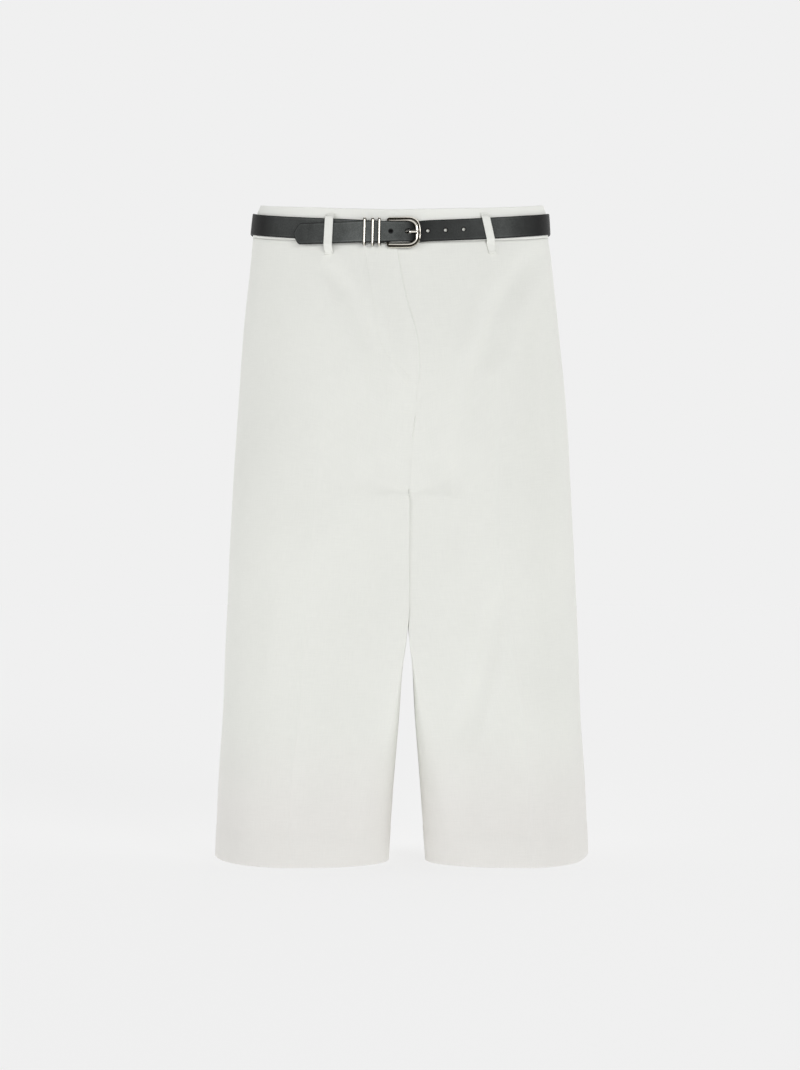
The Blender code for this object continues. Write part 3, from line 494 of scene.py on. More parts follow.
@dataclass(frozen=True)
class Drape:
    """Everything that lies on the form: creases, folds, undulation, fly, darts and hem."""

    form: Form
    crease_top: float = -0.060
    crease_height: float = 0.0026
    crease_reach: float = 0.0110
    crease_sheet: Pair = (0.030, 0.015)
    wave: float = 0.0007
    waves: tuple[Wave, ...] = (
        Wave(46.0, 7.0, 0.4, 0.9),
        Wave(71.0, 11.0, 2.1, 0.6),
        Wave(113.0, 17.0, 4.4, 0.35),
        Wave(29.0, 31.0, 1.3, 0.45),
    )
    fly_bottom: float = -0.176
    fly_width: float = 0.030
    fly_lift: float = 0.0004
    fly_step: float = 0.0015
    fly_end: float = 0.006
    hem_depth: float = 0.032
    hem_lift: float = 0.00035
    hem_step: float = 0.002
    hem_edge: float = 0.0002
    hem_pulls: tuple[Wave, ...] = (
        Wave(TAU / 0.0135, 0.0, 0.0, 0.00010),
        Wave(TAU / 0.0213, 0.0, 1.0, 0.00007),
    )
    pucker: float = 0.00016
    pucker_length: float = 0.017
    pucker_drift: float = 0.11
    pucker_reach: float = 0.006
    dart_length: float = 0.095
    dart_depth: float = 0.0007
    dart_share: float = 0.62
    dart_width: float = 0.0011

    def creases(self, grid: Array, columns: Sequence[int]) -> Array:
        """Lift of the pressed creases: exp(-distance / reach), growing towards the hem."""
        lift = np.zeros(grid.shape[:-1])
        z = grid[..., 2]
        growth = np.clip((self.crease_top - z) / (self.crease_top - self.form.hem), 0.0, 1.0)
        for column in columns:
            away = np.abs(grid[..., 0] - grid[:, column : column + 1, 0])
            same_face = np.sign(grid[..., 1]) == np.sign(grid[:, column : column + 1, 1])
            near = same_face * ease(-away, -self.crease_sheet[0], -self.crease_sheet[1])
            lift += near * self.crease_height * growth * np.exp(-away / self.crease_reach)
        return lift

    def undulation(self, grid: Array) -> Array:
        """Slow waves of the cloth: four products of sines across and up, more on the legs."""
        x, y, z = grid[..., 0], grid[..., 1], grid[..., 2]
        round_leg = x + 0.6 * y
        lift = np.zeros(x.shape)
        for wave in self.waves:
            bend = 1.6 * np.sin(wave.up * z + wave.phase)
            lift += wave.size * np.sin(wave.across * round_leg + wave.phase + bend)
        return self.wave * lift * (0.45 + 0.55 * ease(-z, 0.10, 0.60))

    def hem(self, grid: Array) -> Array:
        """Step up over the turned hem's inside layer, with faint pulls along its edge."""
        past = self.hem_depth - (grid[..., 2] - self.form.hem)
        run = run_lengths(grid, axis=1)
        pulls = sum(p.size * np.sin(p.across * run + p.phase) for p in self.hem_pulls)
        edge = bell(past, 0.005) * (self.hem_edge + pulls)
        return self.hem_lift * ease(past, -self.hem_step, self.hem_step) - edge

    def seam_pulls(self, grid: Array, columns: Sequence[int]) -> Array:
        """Faint puckers beside the seams: short waves that die out within a centimetre."""
        lift = np.zeros(grid.shape[:-1])
        down = run_lengths(grid, axis=0)
        for column in columns:
            away = from_column(grid, column)
            drift = 2.0 * np.sin(TAU * down / self.pucker_drift)
            wave = np.sin(TAU * down / self.pucker_length + drift + column)
            lift += self.pucker * wave * bell(away, self.pucker_reach)
        return lift

    def fly(self, grid: Array, side: Side, seam: int) -> Array:
        """Raise of the right front over the fly's inside layers, and the left front's set-back."""
        x, z = grid[..., 0], grid[..., 2]
        away = np.abs(x - grid[:, :1, 0])
        above = z - self.fly_bottom
        if side is Side.RIGHT:
            room = self.fly_width * np.sqrt(np.clip(above / self.fly_width, 0.0, 1.0))
            within = ease(room - away, -self.fly_step, self.fly_step)
            lift = self.fly_lift * within * ease(above, 0.0, self.fly_end)
        else:
            lift = -self.fly_lift * bell(away, 0.010) * ease(above, 0.0, 2.0 * self.fly_end)
        lift[:, seam + 1 :] = 0.0
        return lift

    def darts(self, grid: Array, seam: int, column: int) -> Array:
        """Groove of the back dart, a narrow bell that fades out down its length."""
        down = grid[:1, :, 2] - grid[..., 2]
        away = from_column(grid, column)
        fade = ease(-down, -self.dart_length, -0.3 * self.dart_length)
        lift = -self.dart_depth * bell(away, self.dart_width) * fade
        lift[:, : seam + 1] = 0.0
        return lift


@dataclass(frozen=True)
class Half:
    """One leg with its half of the seat as a grid, from centre front round to centre back."""

    side: Side
    points: Array
    normals: Array
    seam: int
    creases: tuple[int, int]


@dataclass(frozen=True)
class Cutter:
    """Samples the form and drapes it into the half garments."""

    form: Form
    drape: Drape
    inner_columns: int = 56
    outer_columns: int = 50
    torso_rows: int = 124
    leg_rows: int = 136
    gathered: float = 0.62
    dart_steps: tuple[float, ...] = (0.0, 0.0026, 0.0052, 0.0094, 0.0156)
    corner_steps: tuple[float, ...] = (
        0.0, 0.0004, 0.0008, 0.0014, 0.0023, 0.0038, 0.006, 0.010, 0.017, 0.029,
    )
    corner_outside: float = 0.53
    inner_weight: float = 7.0 / 13.0
    lap: float = 0.0015
    lap_sink: float = 0.0009
    lap_heights: tuple[float, float, float, float] = (-0.278, -0.288, -0.400, -0.432)
    lap_across: Pair = (0.012, 0.003)
    still_by_seams: float = 0.012
    still_by_band: float = 0.020

    def shares(self, count: int, mark: float | None = None, steps: Sequence[float] = ()) -> Array:
        """Shares 0 to 1, closer together at both ends: u - g sin(2 pi u) / 2 pi.

        Args:
            count: number of steps.
            mark: a share that gets its own close group of columns.
            steps: how far on both sides of the mark the group's columns are.

        Returns:
            The shares in rising order.
        """
        u = np.linspace(0.0, 1.0, count + 1)
        t = u - self.gathered * np.sin(TAU * u) / TAU
        if mark is None:
            return t
        group = np.array(steps)
        near = group[-1] + 0.4 * (group[-1] - group[-2])
        return np.sort(np.concatenate([t[np.abs(t - mark) > near], mark + group, mark - group[1:]]))

    def lapped(self, grid: Array, side: Side, ahead: Sequence[int]) -> Array:
        """Lay the right leg's edges over the left's, front and back, down to where they part.

        Args:
            grid: the half garment.
            side: which half it is.
            ahead: a column on the front and one on the back, just outside the inner corner.

        Returns:
            The grid with the right's edges moved across, or the left's sunk behind them.
        """
        x, y, z = grid[..., 0], grid[..., 1], grid[..., 2]
        line = 0.5 * (LEGS.read("inner_r", z) + LEGS.read("inner_l", z))
        top, full, last, end = self.lap_heights
        here = ease(-z, -top, -full) * ease(z, end, last) * ease(
            -np.abs(x - line), -self.lap_across[0], -self.lap_across[1]
        )
        moved = grid.copy()
        for face, column in zip(Face, ahead):
            deep = face.toward * (y[:, column : column + 1] - y)
            if side is Side.RIGHT:
                moved[..., 0] += self.lap * here * ease(-deep, -0.0010, -0.0004)
            else:
                moved[..., 1] -= face.toward * self.lap_sink * here * ease(-deep, -0.0300, -0.0100)
        return moved

    def inner_shares(self, face: Face) -> Array:
        """Shares from the centre to the crease, close at the leg's corner and at the dart."""
        t = self.shares(self.inner_columns, 0.5, self.corner_steps)
        if face is Face.FRONT:
            return t
        group, mark = np.array(self.dart_steps), self.drape.dart_share
        keep = t[np.abs(t - mark) > 1.3 * group[-1]]
        return np.sort(np.concatenate([keep, mark + group, mark - group[1:]]))

    def heights(self, side: Side, face: Face, outer: bool, t: Array) -> Array:
        """Heights of the grid from the waistband's seam to the hem.

        At the side seam the rows are even, and towards the middle they follow the rise.

        Args:
            side: which leg.
            face: front or back.
            outer: True from crease to side seam.
            t: shares across.

        Returns:
            Heights, one row for each row of the grid.
        """
        form = self.form
        past = np.clip((t - self.corner_outside) / (1.0 - self.corner_outside), 0.0, 1.0)
        weight = self.inner_weight
        place = weight + (1.0 - weight) * t if outer else weight * past
        x = side.sign * form.section(side, face, outer, t, 0.0 * t)[..., 0]
        angle = form.angle_at(x / SEAMS.read("out_" + side.value, 0.0 * t))
        top = form.top(angle if face is Face.FRONT else math.pi - angle) - form.band
        drawn = form.rise_steps(face, self.torso_rows)[:, None]
        even = np.linspace(0.0, 1.0, self.torso_rows + 1)[:, None]
        share = drawn + (even - drawn) * np.minimum(1.0, 1.4 * place)
        torso = top + (form.crotch - top) * share
        down = np.linspace(0.0, 1.0, self.leg_rows + 1)[1:, None]
        return np.vstack([torso, form.crotch + (form.hem - form.crotch) * down + 0.0 * t])

    def normals(self, grid: Array, side: Side) -> Array:
        """Outward unit normals of a half garment, shared across its seams."""
        along = np.gradient(grid, axis=1)
        crotch = self.torso_rows
        around = grid[crotch:, 1] - grid[crotch:, -2]
        along[crotch:, 0] = around
        along[crotch:, -1] = around
        normals = unit(side.sign * np.cross(along, np.gradient(grid, axis=0)))
        normals *= np.sign(np.sum(normals[0, 1] * grid[0, 1]))
        for end in (0, -1):
            across = side.sign * normals[:crotch, end, 0]
            normals[:crotch, end, 0] = side.sign * np.minimum(across, 0.0)
        return unit(normals)

    def half(self, side: Side) -> Half:
        """Make one half garment with all that is draped on it.

        Args:
            side: which leg.

        Returns:
            The half garment.
        """
        grids, creases = [], []
        for face in Face:
            parts = []
            for outer, count in ((False, self.inner_columns), (True, self.outer_columns)):
                t = self.shares(count) if outer else self.inner_shares(face)
                z = self.heights(side, face, outer, t)
                parts.append(self.form.section(side, face, outer, np.broadcast_to(t, z.shape), z))
            whole = np.concatenate([parts[0], parts[1][:, 1:]], axis=1)
            inner = parts[0].shape[1] - 1
            creases.append(inner if face is Face.FRONT else whole.shape[1] - 1 - inner)
            grids.append(whole if face is Face.FRONT else whole[:, ::-1])
        seam = grids[0].shape[1] - 1
        creases[1] += seam
        grid = np.concatenate([grids[0], grids[1][:, 1:]], axis=1)
        back_t = self.inner_shares(Face.BACK)
        dart = grid.shape[1] - 1 - int(np.argmin(np.abs(back_t - self.drape.dart_share)))
        ahead = [
            int(np.argmin(np.abs(self.inner_shares(face) - self.corner_outside))) for face in Face
        ]
        grid = self.lapped(grid, side, (ahead[0], grid.shape[1] - 1 - ahead[1]))
        normals = self.normals(grid, side)
        lift = self.drape.undulation(grid)
        lift *= 1.0 - ease(-side.sign * normals[..., 0], 0.2, 0.7)
        front = np.arange(grid.shape[1])[None, :] <= seam
        for fold in FOLDS[side]:
            here = front if fold.face is Face.FRONT else ~front
            lift += here * fold.lift(grid[..., 0], grid[..., 2])
        lift += self.drape.seam_pulls(grid, (0, seam, grid.shape[1] - 1))
        for column in (0, seam, grid.shape[1] - 1):
            away = from_column(grid, column)
            lift *= ease(away, 0.0, self.still_by_seams)
        lift *= ease(grid[:1, :, 2] - grid[..., 2], 0.0, self.still_by_band)
        lift += self.drape.creases(grid, creases)
        lift += self.drape.hem(grid)
        lift += self.drape.fly(grid, side, seam)
        lift += self.drape.darts(grid, seam, dart)
        grid = grid + normals * [1.0, 1.0, 0.0] * lift[..., None]
        return Half(side, grid, self.normals(grid, side), seam, (creases[0], creases[1]))


def grid_faces(
    rows: int, columns: int, wrap: bool = False, close: bool = False
) -> tuple[Array, Array]:
    """Quads of a grid of points.

    Args:
        rows: rows of points.
        columns: points in a row.
        wrap: True where each row joins back to its first point.
        close: True where the last row joins back to the first.

    Returns:
        Vertex indices of the quads, and for each corner its index in the grid with one more
        row and column where it wraps, which is where its UV place is read.
    """
    r = np.arange(rows if close else rows - 1)[:, None]
    c = np.arange(columns if wrap else columns - 1)[None, :]
    corners, places = [], []
    width = columns + (1 if wrap else 0)
    for dr, dc in ((0, 0), (0, 1), (1, 1), (1, 0)):
        corners.append(((r + dr) % rows) * columns + (c + dc) % columns)
        places.append((r + dr) * width + (c + dc))
    return np.stack(corners, -1).reshape(-1, 4), np.stack(places, -1).reshape(-1, 4)


def volume(points: Array, faces: Array) -> float:
    """Six times the signed volume of a closed mesh of quads."""
    a, b, c, d = (points[faces[:, k]] for k in range(4))
    return float((a * np.cross(b, c)).sum() + (a * np.cross(c, d)).sum())


def new_object(
    name: str,
    points: Array,
    faces: Array,
    uv: Array | None = None,
    caps: Sequence[Sequence[int]] = (),
    sharp: float = 50.0,
) -> Thing:
    """Make a smooth-shaded object.

    Args:
        name: the piece's name.
        points: vertices, one row each.
        faces: quads.
        uv: the UV place of each quad's corners, in the shape of faces with one more axis.
        caps: further faces with any number of corners.
        sharp: angle in degrees past which an edge is shaded sharp.

    Returns:
        The object, linked to the scene.
    """
    mesh = bpy.data.meshes.new(name)
    mesh.from_pydata(points.tolist(), [], faces.tolist() + [list(c) for c in caps])
    if uv is not None:
        layer = mesh.uv_layers.new(name="UVMap")
        flat = np.zeros((len(mesh.loops), 2))
        flat[: uv.shape[0] * 4] = uv.reshape(-1, 2)
        if caps:
            flat[uv.shape[0] * 4 :] = uv.reshape(-1, 2).mean(axis=0)
        layer.data.foreach_set("uv", flat.ravel())
    mesh.shade_smooth()
    mesh.set_sharp_from_angle(angle=math.radians(sharp))
    mesh.validate()
    thing = bpy.data.objects.new(name, mesh)
    bpy.context.scene.collection.objects.link(thing)
    return thing


def tube(
    name: str, rings: Array, closed: bool, uv: Array | None = None, sharp: float = 50.0
) -> Thing:
    """Join rings of points into a closed body.

    Args:
        name: the piece's name.
        rings: points by station and place round the ring.
        closed: True where the last station joins the first, else both ends are capped.
        uv: the UV place by station and place round the ring, with one more of each that wraps.
        sharp: angle in degrees past which an edge is shaded sharp.

    Returns:
        The object.
    """
    stations, sides = rings.shape[:2]
    faces, places = grid_faces(stations, sides, wrap=True, close=closed)
    points = rings.reshape(-1, 3)
    caps = []
    if not closed:
        caps = [list(range(sides))[::-1], [(stations - 1) * sides + k for k in range(sides)]]
    corner_uv = None if uv is None else uv.reshape(-1, 2)[places]
    if volume(points - points.mean(axis=0), faces) < 0.0:
        faces = faces[:, ::-1]
        caps = [cap[::-1] for cap in caps]
        corner_uv = None if corner_uv is None else corner_uv[:, ::-1]
    return new_object(name, points, faces, corner_uv, caps, sharp)


def finish_piece(
    piece: Thing, material: Material, slot: str, *nodes: str
) -> None:
    """Give a piece its material, attach it to the root and hide the solids it stands for.

    Args:
        piece: the object.
        material: its finish.
        slot: not used.
        nodes: the CAD nodes that it replaces.
    """
    piece.data.materials.append(material)
    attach(piece, "root")
    if nodes:
        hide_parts(*nodes)
    LOG.info("%s: %d faces", piece.name, len(piece.data.polygons))


@dataclass(frozen=True)
class ClothPanel:
    """A front or back panel: its stretch of a half garment, seams rolled in, hem turned up."""

    half: Half
    face: Face
    form: Form
    cloth: float = 0.0007
    roll: float = 0.0005
    allowance: float = 0.0040
    gap: float = 0.00004
    hem_turn: float = 0.0008
    hem_depth: float = 0.0335
    lap: float = 0.0012
    set_back: float = 0.0002
    fly_ends: Pair = (-0.178, -0.170)
    roll_angles: tuple[float, ...] = (0.35, 0.70, 1.05, 1.35, 0.5 * math.pi)

    @property
    def name(self) -> str:
        """The piece's name."""
        return f"{self.half.side.word}_{self.face.value}_cloth"

    def rolled(self, points: Array, normals: Array, edge: int) -> tuple[Array, Array]:
        """Extra columns past a seam: a quarter roll inwards and a short allowance.

        The edge moves back by the roll's radius. Then come points at angles a of the roll,
        P + r sin(a) T - r (1 - cos a) N, with T out of the panel and N out of the cloth, and
        a straight run inwards.

        Args:
            points: the panel's grid.
            normals: its outward normals.
            edge: 0 or -1, which edge.

        Returns:
            The moved edge column and the extra columns, from the edge outwards.
        """
        inward = 1 if edge == 0 else -2
        normal = normals[:, edge]
        out = unit(points[:, edge] - points[:, inward])
        out = unit(out - normal * np.sum(out * normal, axis=-1, keepdims=True))
        over = 0.0 * points[:, edge, 0]
        centre_front = self.face is Face.FRONT and edge == 0
        if centre_front:
            fly = ease(points[:, edge, 2], *self.fly_ends)
            over = fly * (self.lap if self.half.side is Side.RIGHT else -self.set_back)
        start = points[:, edge] - out * (self.roll + self.gap - over)[:, None]
        above = points[:, edge, 2] - self.form.hem - self.hem_depth
        run = 0.0004 + self.allowance * ease(above, 0.003, 0.010)
        if centre_front and self.half.side is Side.RIGHT:
            run = run * (1.0 - fly)
        columns = []
        for angle in self.roll_angles:
            way = out * math.sin(angle) - normal * (1.0 - math.cos(angle))
            columns.append(start + self.roll * way)
        for share in (0.4, 1.0):
            columns.append(columns[len(self.roll_angles) - 1] - normal * (run * share)[:, None])
        return start, np.stack(columns, axis=1)

    def build(self, torso_rows: int) -> Thing:
        """Make the panel.

        Args:
            torso_rows: rows of the grid above the crotch.

        Returns:
            The object, a thin wall with its inside layers.
        """
        seam, half = self.half.seam, self.half
        columns = slice(0, seam + 1) if self.face is Face.FRONT else slice(seam, None)
        points = half.points[:, columns] - 0.5 * self.cloth * half.normals[:, columns]
        normals = half.normals[:, columns]
        crease = half.creases[0] if self.face is Face.FRONT else half.creases[1] - seam
        low, low_more = self.rolled(points, normals, 0)
        high, high_more = self.rolled(points, normals, -1)
        points = points.copy()
        points[:, 0], points[:, -1] = low, high
        extra = low_more.shape[1]
        grid = np.concatenate([low_more[:, ::-1], points, high_more], axis=1)
        away = np.pad(normals, ((0, 0), (extra, extra), (0, 0)), "edge")
        grid = np.concatenate([grid, self.turned_hem(grid, away)], axis=0)
        across = run_lengths(grid, axis=1)
        across = across - across[:, crease + extra : crease + extra + 1]
        down = run_lengths(grid, axis=0)
        down = down[:, crease + extra : crease + extra + 1]
        faces, places = grid_faces(*grid.shape[:2])
        uv = paired(across, -down).reshape(-1, 2)[places]
        flat = grid.reshape(-1, 3)
        side_ways = np.cross(
            flat[faces[:, 1]] - flat[faces[:, 0]], flat[faces[:, 3]] - flat[faces[:, 0]]
        )
        middle = (torso_rows // 2) * (grid.shape[1] - 1) + crease + extra
        if np.dot(side_ways[middle], away[torso_rows // 2, crease + extra]) < 0.0:
            faces, uv = faces[:, ::-1], uv[:, ::-1]
        piece = new_object(self.name, flat, faces, uv, sharp=70.0)
        wall = piece.modifiers.new("wall", "SOLIDIFY")
        wall.thickness = self.cloth
        wall.offset = 0.0
        wall.use_rim = True
        return piece

    def turned_hem(self, grid: Array, away: Array) -> Array:
        """Rows past the hem: a half roll inwards and the inside layer back up.

        Args:
            grid: the panel's grid with its rolled edges.
            away: outward normals of the grid.

        Returns:
            The extra rows, from the hem on.
        """
        level = unit(away * [1.0, 1.0, 0.0])
        rows = []
        for angle in np.linspace(0.3, math.pi, 7):
            down = np.array([0.0, 0.0, -self.hem_turn * math.sin(angle)])
            rows.append(grid[-1] + down - self.hem_turn * (1.0 - math.cos(angle)) * level[-1])
        step = (grid[-2, :, 2] - grid[-1, :, 2]).mean()
        count = int(self.hem_depth / step)
        for k in range(1, count + 1):
            rows.append(grid[-1 - k] - 2.0 * self.hem_turn * level[-1 - k])
        return np.stack(rows)


class Waist:
    """Places points on the belt's line: along it, off the cloth, and up it."""

    SAMPLES = 2881
    BELOW_TOP = 0.0192
    LOWER_IN_FRONT = 0.0032
    HALF_STRAP = 0.0109

    def __init__(self, form: Form, upright_share: float) -> None:
        """Sample the line.

        Args:
            form: the garment's form.
            upright_share: how much more upright than the cloth things stand at the sides.
        """
        self.angle = angle = np.linspace(-math.pi, math.pi, self.SAMPLES)
        front = np.where(np.cos(angle) > 0.0, 1.0 - np.sin(angle) ** 4, 0.0)
        z = form.top(angle) - (self.BELOW_TOP + self.LOWER_IN_FRONT * front)
        self.points = form.torso(angle, z)
        up = form.torso(angle, z + self.HALF_STRAP) - form.torso(angle, z - self.HALF_STRAP)
        up[:, :2] *= 1.0 - upright_share * np.sin(angle)[:, None] ** 2
        self.up = unit(up)
        along = np.gradient(self.points, axis=0)
        along[[0, -1]] = self.points[1] - self.points[-2]
        self.normal = unit(np.cross(along, self.up))
        length = run_lengths(self.points)
        self.length = float(length[-1])
        self.s = length - np.interp(0.0, angle, length)

    def along(self, x: Array | float) -> Array:
        """Distance along the line from the centre front to a place across it."""
        front = np.abs(self.angle) < 0.45 * math.pi
        return np.interp(x, self.points[front, 0], self.s[front])

    def at_angle(self, angle: float) -> float:
        """Distance along the line to an angle round from the front."""
        return float(np.interp(angle, self.angle, self.s))

    def place(self, s: Array, lift: Array, height: Array) -> Array:
        """World points at distances s along the line, lift off the cloth and height up."""
        s, lift, height = np.broadcast_arrays(s, lift, height)
        s = (s - self.s[0]) % self.length + self.s[0]
        base, out, up = (
            np.stack([np.interp(s, self.s, source[:, k]) for k in range(3)], -1)
            for source in (self.points, self.normal, self.up)
        )
        return base + out * lift[..., None] + up * height[..., None]


def rounded_box(
    half_long: float, half_thick: float, radius: float, steps: int, bulge: float
) -> Array:
    """Outline of a flat bar's section: long way first, thick way second.

    Args:
        half_long: half its width.
        half_thick: half its thickness.
        radius: radius of its corners.
        steps: points on each long face.
        bulge: how far each long face crowns.

    Returns:
        Points round the section, the outer face first.
    """
    turn = np.linspace(0.0, 0.5 * math.pi, 5)[1:-1]
    h = np.linspace(half_long - radius, -(half_long - radius), steps)
    face = np.stack([h, half_thick + bulge * (1.0 - (h / half_long) ** 2)], 1)
    near, far = half_long - radius, half_thick - radius
    corner = np.stack([-near - radius * np.sin(turn), far + radius * np.cos(turn)], 1)
    side = np.concatenate([face, corner])
    lower = corner[::-1] * [1.0, -1.0]
    back = np.stack([h[::-1], -np.full(steps, half_thick)], 1)
    other = np.stack([near + radius * np.sin(turn), -far - radius * np.cos(turn)], 1)
    return np.concatenate([side, lower, back, other, other[::-1] * [1.0, -1.0]])


@dataclass(frozen=True)
class Waistband:
    """One half of the waistband: a folded band, closed along its top."""

    form: Form
    side: Side
    outside: float = 0.0003
    inside: float = 0.0017
    corner: float = 0.00085
    clearance: float = 0.0001
    bulge: float = 0.0002
    end_gap: float = 0.00003 / 0.09
    end_fade: float = 0.0035
    end_thick: float = 0.55
    waves: tuple[Wave, ...] = (Wave(7.0, 0.0, 0.7, 0.00022), Wave(19.0, 0.0, 0.0, 0.00010))
    wave_depth: float = 0.020
    step: float = 0.002
    stations: int = 210
    steps: int = 22

    def build(self) -> Thing:
        """Make the band: a rounded section carried round the waist below the top edge.

        Returns:
            The object.
        """
        form, sign = self.form, self.side.sign
        level = np.array(0.0)
        half = SEAMS.read("out_" + self.side.value, level)
        start = form.angle_at(MIDDLES.read("x", level) / half)
        shares = np.linspace(0.0, 1.0, self.stations + 1)
        angle = start + (sign * math.pi - start) * shares
        angle[0], angle[-1] = angle[0] + sign * self.end_gap, angle[-1] - sign * self.end_gap
        thick = 0.5 * (self.outside + self.inside)
        wide = 0.5 * form.band - self.clearance
        outline = rounded_box(wide, thick, self.corner, self.steps, self.bulge)
        height = outline[None, :, 0] - 0.5 * form.band
        depth = outline[None, :, 1] + 0.5 * (self.outside - self.inside)
        closing = np.minimum(1.0, np.minimum(shares, 1.0 - shares) / self.end_fade)[:, None]
        depth = depth * (self.end_thick + (1.0 - self.end_thick) * np.sqrt(closing))
        depth = depth - 0.3 * self.inside * (1.0 - closing) ** 2
        angle = angle[:, None]
        wave = sum(w.size * np.sin(w.across * angle + w.phase) for w in self.waves)
        fade = ease(closing, 0.0, 1.0) * ease(height, -self.wave_depth, 0.0)
        z = form.top(angle) + wave * fade + height
        angle = angle + 0.0 * z
        base = form.torso(angle, z)
        ahead = form.torso(angle + self.step, z) - form.torso(angle - self.step, z)
        up = form.torso(angle, z + self.step) - form.torso(angle, z - self.step)
        rings = base + unit(np.cross(ahead, up)) * depth[..., None]
        uv = paired(run_lengths(base[:, 0])[:, None], past_last(outline, 0.001))
        return tube(f"{self.side.word}_waistband_cloth", rings, False, uv)


@dataclass(frozen=True)
class Loop:
    """One belt loop: its place, the lift that clears the belt there, and its lean."""

    name: str
    node: str
    angle: float
    clear: float
    sag_room: float = 0.0
    lean: float = 0.0
    width: float = 0.0084
    thickness: float = 0.0013
    top: float = 0.0162
    bottom: float = -0.0262
    low: float = 0.00145
    corner: float = 0.00055
    bulge: float = 0.00022
    inset: float = 0.0024
    end_fade: float = 0.0006
    end_thick: float = 0.25
    dip: float = 0.22
    dip_width: float = 0.0011
    tack_stitches: int = 11
    tack_share: float = 0.42

    def path(self) -> Array:
        """Middle line from the top end over the belt to the bottom end: height and lift."""
        high = self.clear + 0.5 * self.thickness
        over = Waist.HALF_STRAP + 0.5 * self.thickness + 0.0002
        under = over + self.sag_room
        foot = 0.0010 + 0.9 * (high - self.low)
        knots = (
            (self.top, self.low),
            (over + 0.0020, self.low),
            (over, high),
            (0.0, high + 0.0001),
            (-under, high),
            (-under - foot, self.low),
            (self.bottom, self.low),
        )
        return resampled(np.array(knots), 110, 14)

    def build(self, waist: Waist) -> Thing:
        """Make the loop: a rounded flat section carried along its path.

        Args:
            waist: the belt's line.

        Returns:
            The object.
        """
        path = self.path()
        outline = rounded_box(0.5 * self.width, 0.5 * self.thickness, self.corner, 12, self.bulge)
        run = run_lengths(path)
        left = run[-1] - run
        ends = np.minimum(1.0, np.minimum(run, left) / self.end_fade)[:, None]
        dip = bell(run - self.inset, self.dip_width) + bell(left - self.inset, self.dip_width)
        thin = self.end_thick + (1.0 - self.end_thick) * np.sqrt(ends)
        thin = thin * (1.0 - self.dip * dip)[:, None]
        height, lift = beside(path, outline[None, :, 1] * thin)
        across = outline[None, :, 0] * (0.97 + 0.03 * ends)
        s = waist.at_angle(self.angle) + across + self.lean * height
        uv = paired(past_last(outline, 0.0005), run[:, None])
        return tube(self.name, waist.place(s, lift, height), False, uv)

    def tacks(self, waist: Waist) -> Array:
        """Places, directions and outward ways of the stitches that hold both ends."""
        ends = []
        across = np.linspace(-1.0, 1.0, self.tack_stitches) * self.tack_share * self.width
        lift = self.low + 0.5 * self.thickness + 0.00002
        for end, way in ((self.top - self.inset, 1.0), (self.bottom + self.inset, -1.0)):
            s = waist.at_angle(self.angle) + across + self.lean * end
            here = waist.place(s, lift, end)
            there = waist.place(s + 0.0001 * way, lift, end + 0.001)
            ends.append((here, unit(there - here), unit(waist.place(s, lift + 0.001, end) - here)))
        return np.concatenate(ends, axis=1)


LOOPS = (
    Loop("loop_right_front_cloth", "loop_front_r", math.radians(-27.0), 0.00630, 0.0054),
    Loop("loop_left_front_cloth", "loop_front_l", math.radians(33.1), 0.00360, 0.0, -0.165),
    Loop("loop_right_side_cloth", "loop_side_r", math.radians(-128.0), 0.00480),
    Loop("loop_left_side_cloth", "loop_side_l", math.radians(128.0), 0.00480),
    Loop("loop_centre_back_cloth", "loop_back", math.radians(180.0), 0.00430),
)


@dataclass(frozen=True)
class Stitches:
    """Runs of sewing thread, each stitch a short rounded capsule."""

    length: float = 0.0026
    radius: float = 0.00016
    sides: int = 6

    def build(self, name: str, places: Array, ways: Array, outs: Array) -> Thing:
        """Make one run: a capsule along each way, bowed over the cloth.

        Args:
            name: the run's name.
            places: middle of each stitch.
            ways: unit direction of each stitch.
            outs: unit direction out of the cloth at each stitch.

        Returns:
            The object.
        """
        along = np.array([-0.5, -0.42, -0.2, 0.0, 0.2, 0.42, 0.5])
        girth = np.array([0.25, 0.8, 1.0, 1.0, 1.0, 0.8, 0.25])
        sink = np.array([-1.4, -0.5, 0.1, 0.25, 0.1, -0.5, -1.4]) * self.radius
        turn = np.linspace(0.0, TAU, self.sides, endpoint=False)[:, None]
        outs, ways = outs[:, None], ways[:, None]
        line = places[:, None] + ways * (along * self.length)[:, None] + outs * sink[:, None]
        ring = np.cross(ways, outs)
        ring = unit(ring) * np.cos(turn) + outs * np.sin(turn)
        points = line[:, :, None] + ring[:, None] * (self.radius * girth)[:, None, None]
        stations, sides = len(along), self.sides
        faces, _ = grid_faces(stations, sides, wrap=True)
        shift = np.arange(len(places))[:, None] * stations * sides
        quads = (faces[None] + shift[..., None]).reshape(-1, 4)
        first = np.arange(sides)
        caps = np.concatenate([shift + first[::-1], shift + (stations - 1) * sides + first], axis=1)
        caps = caps.reshape(-1, sides)
        one = points[0].reshape(-1, 3)
        if volume(one - one.mean(axis=0), faces) < 0.0:
            quads, caps = quads[:, ::-1], caps[:, ::-1]
        return new_object(name, points.reshape(-1, 3), quads, None, caps.tolist())


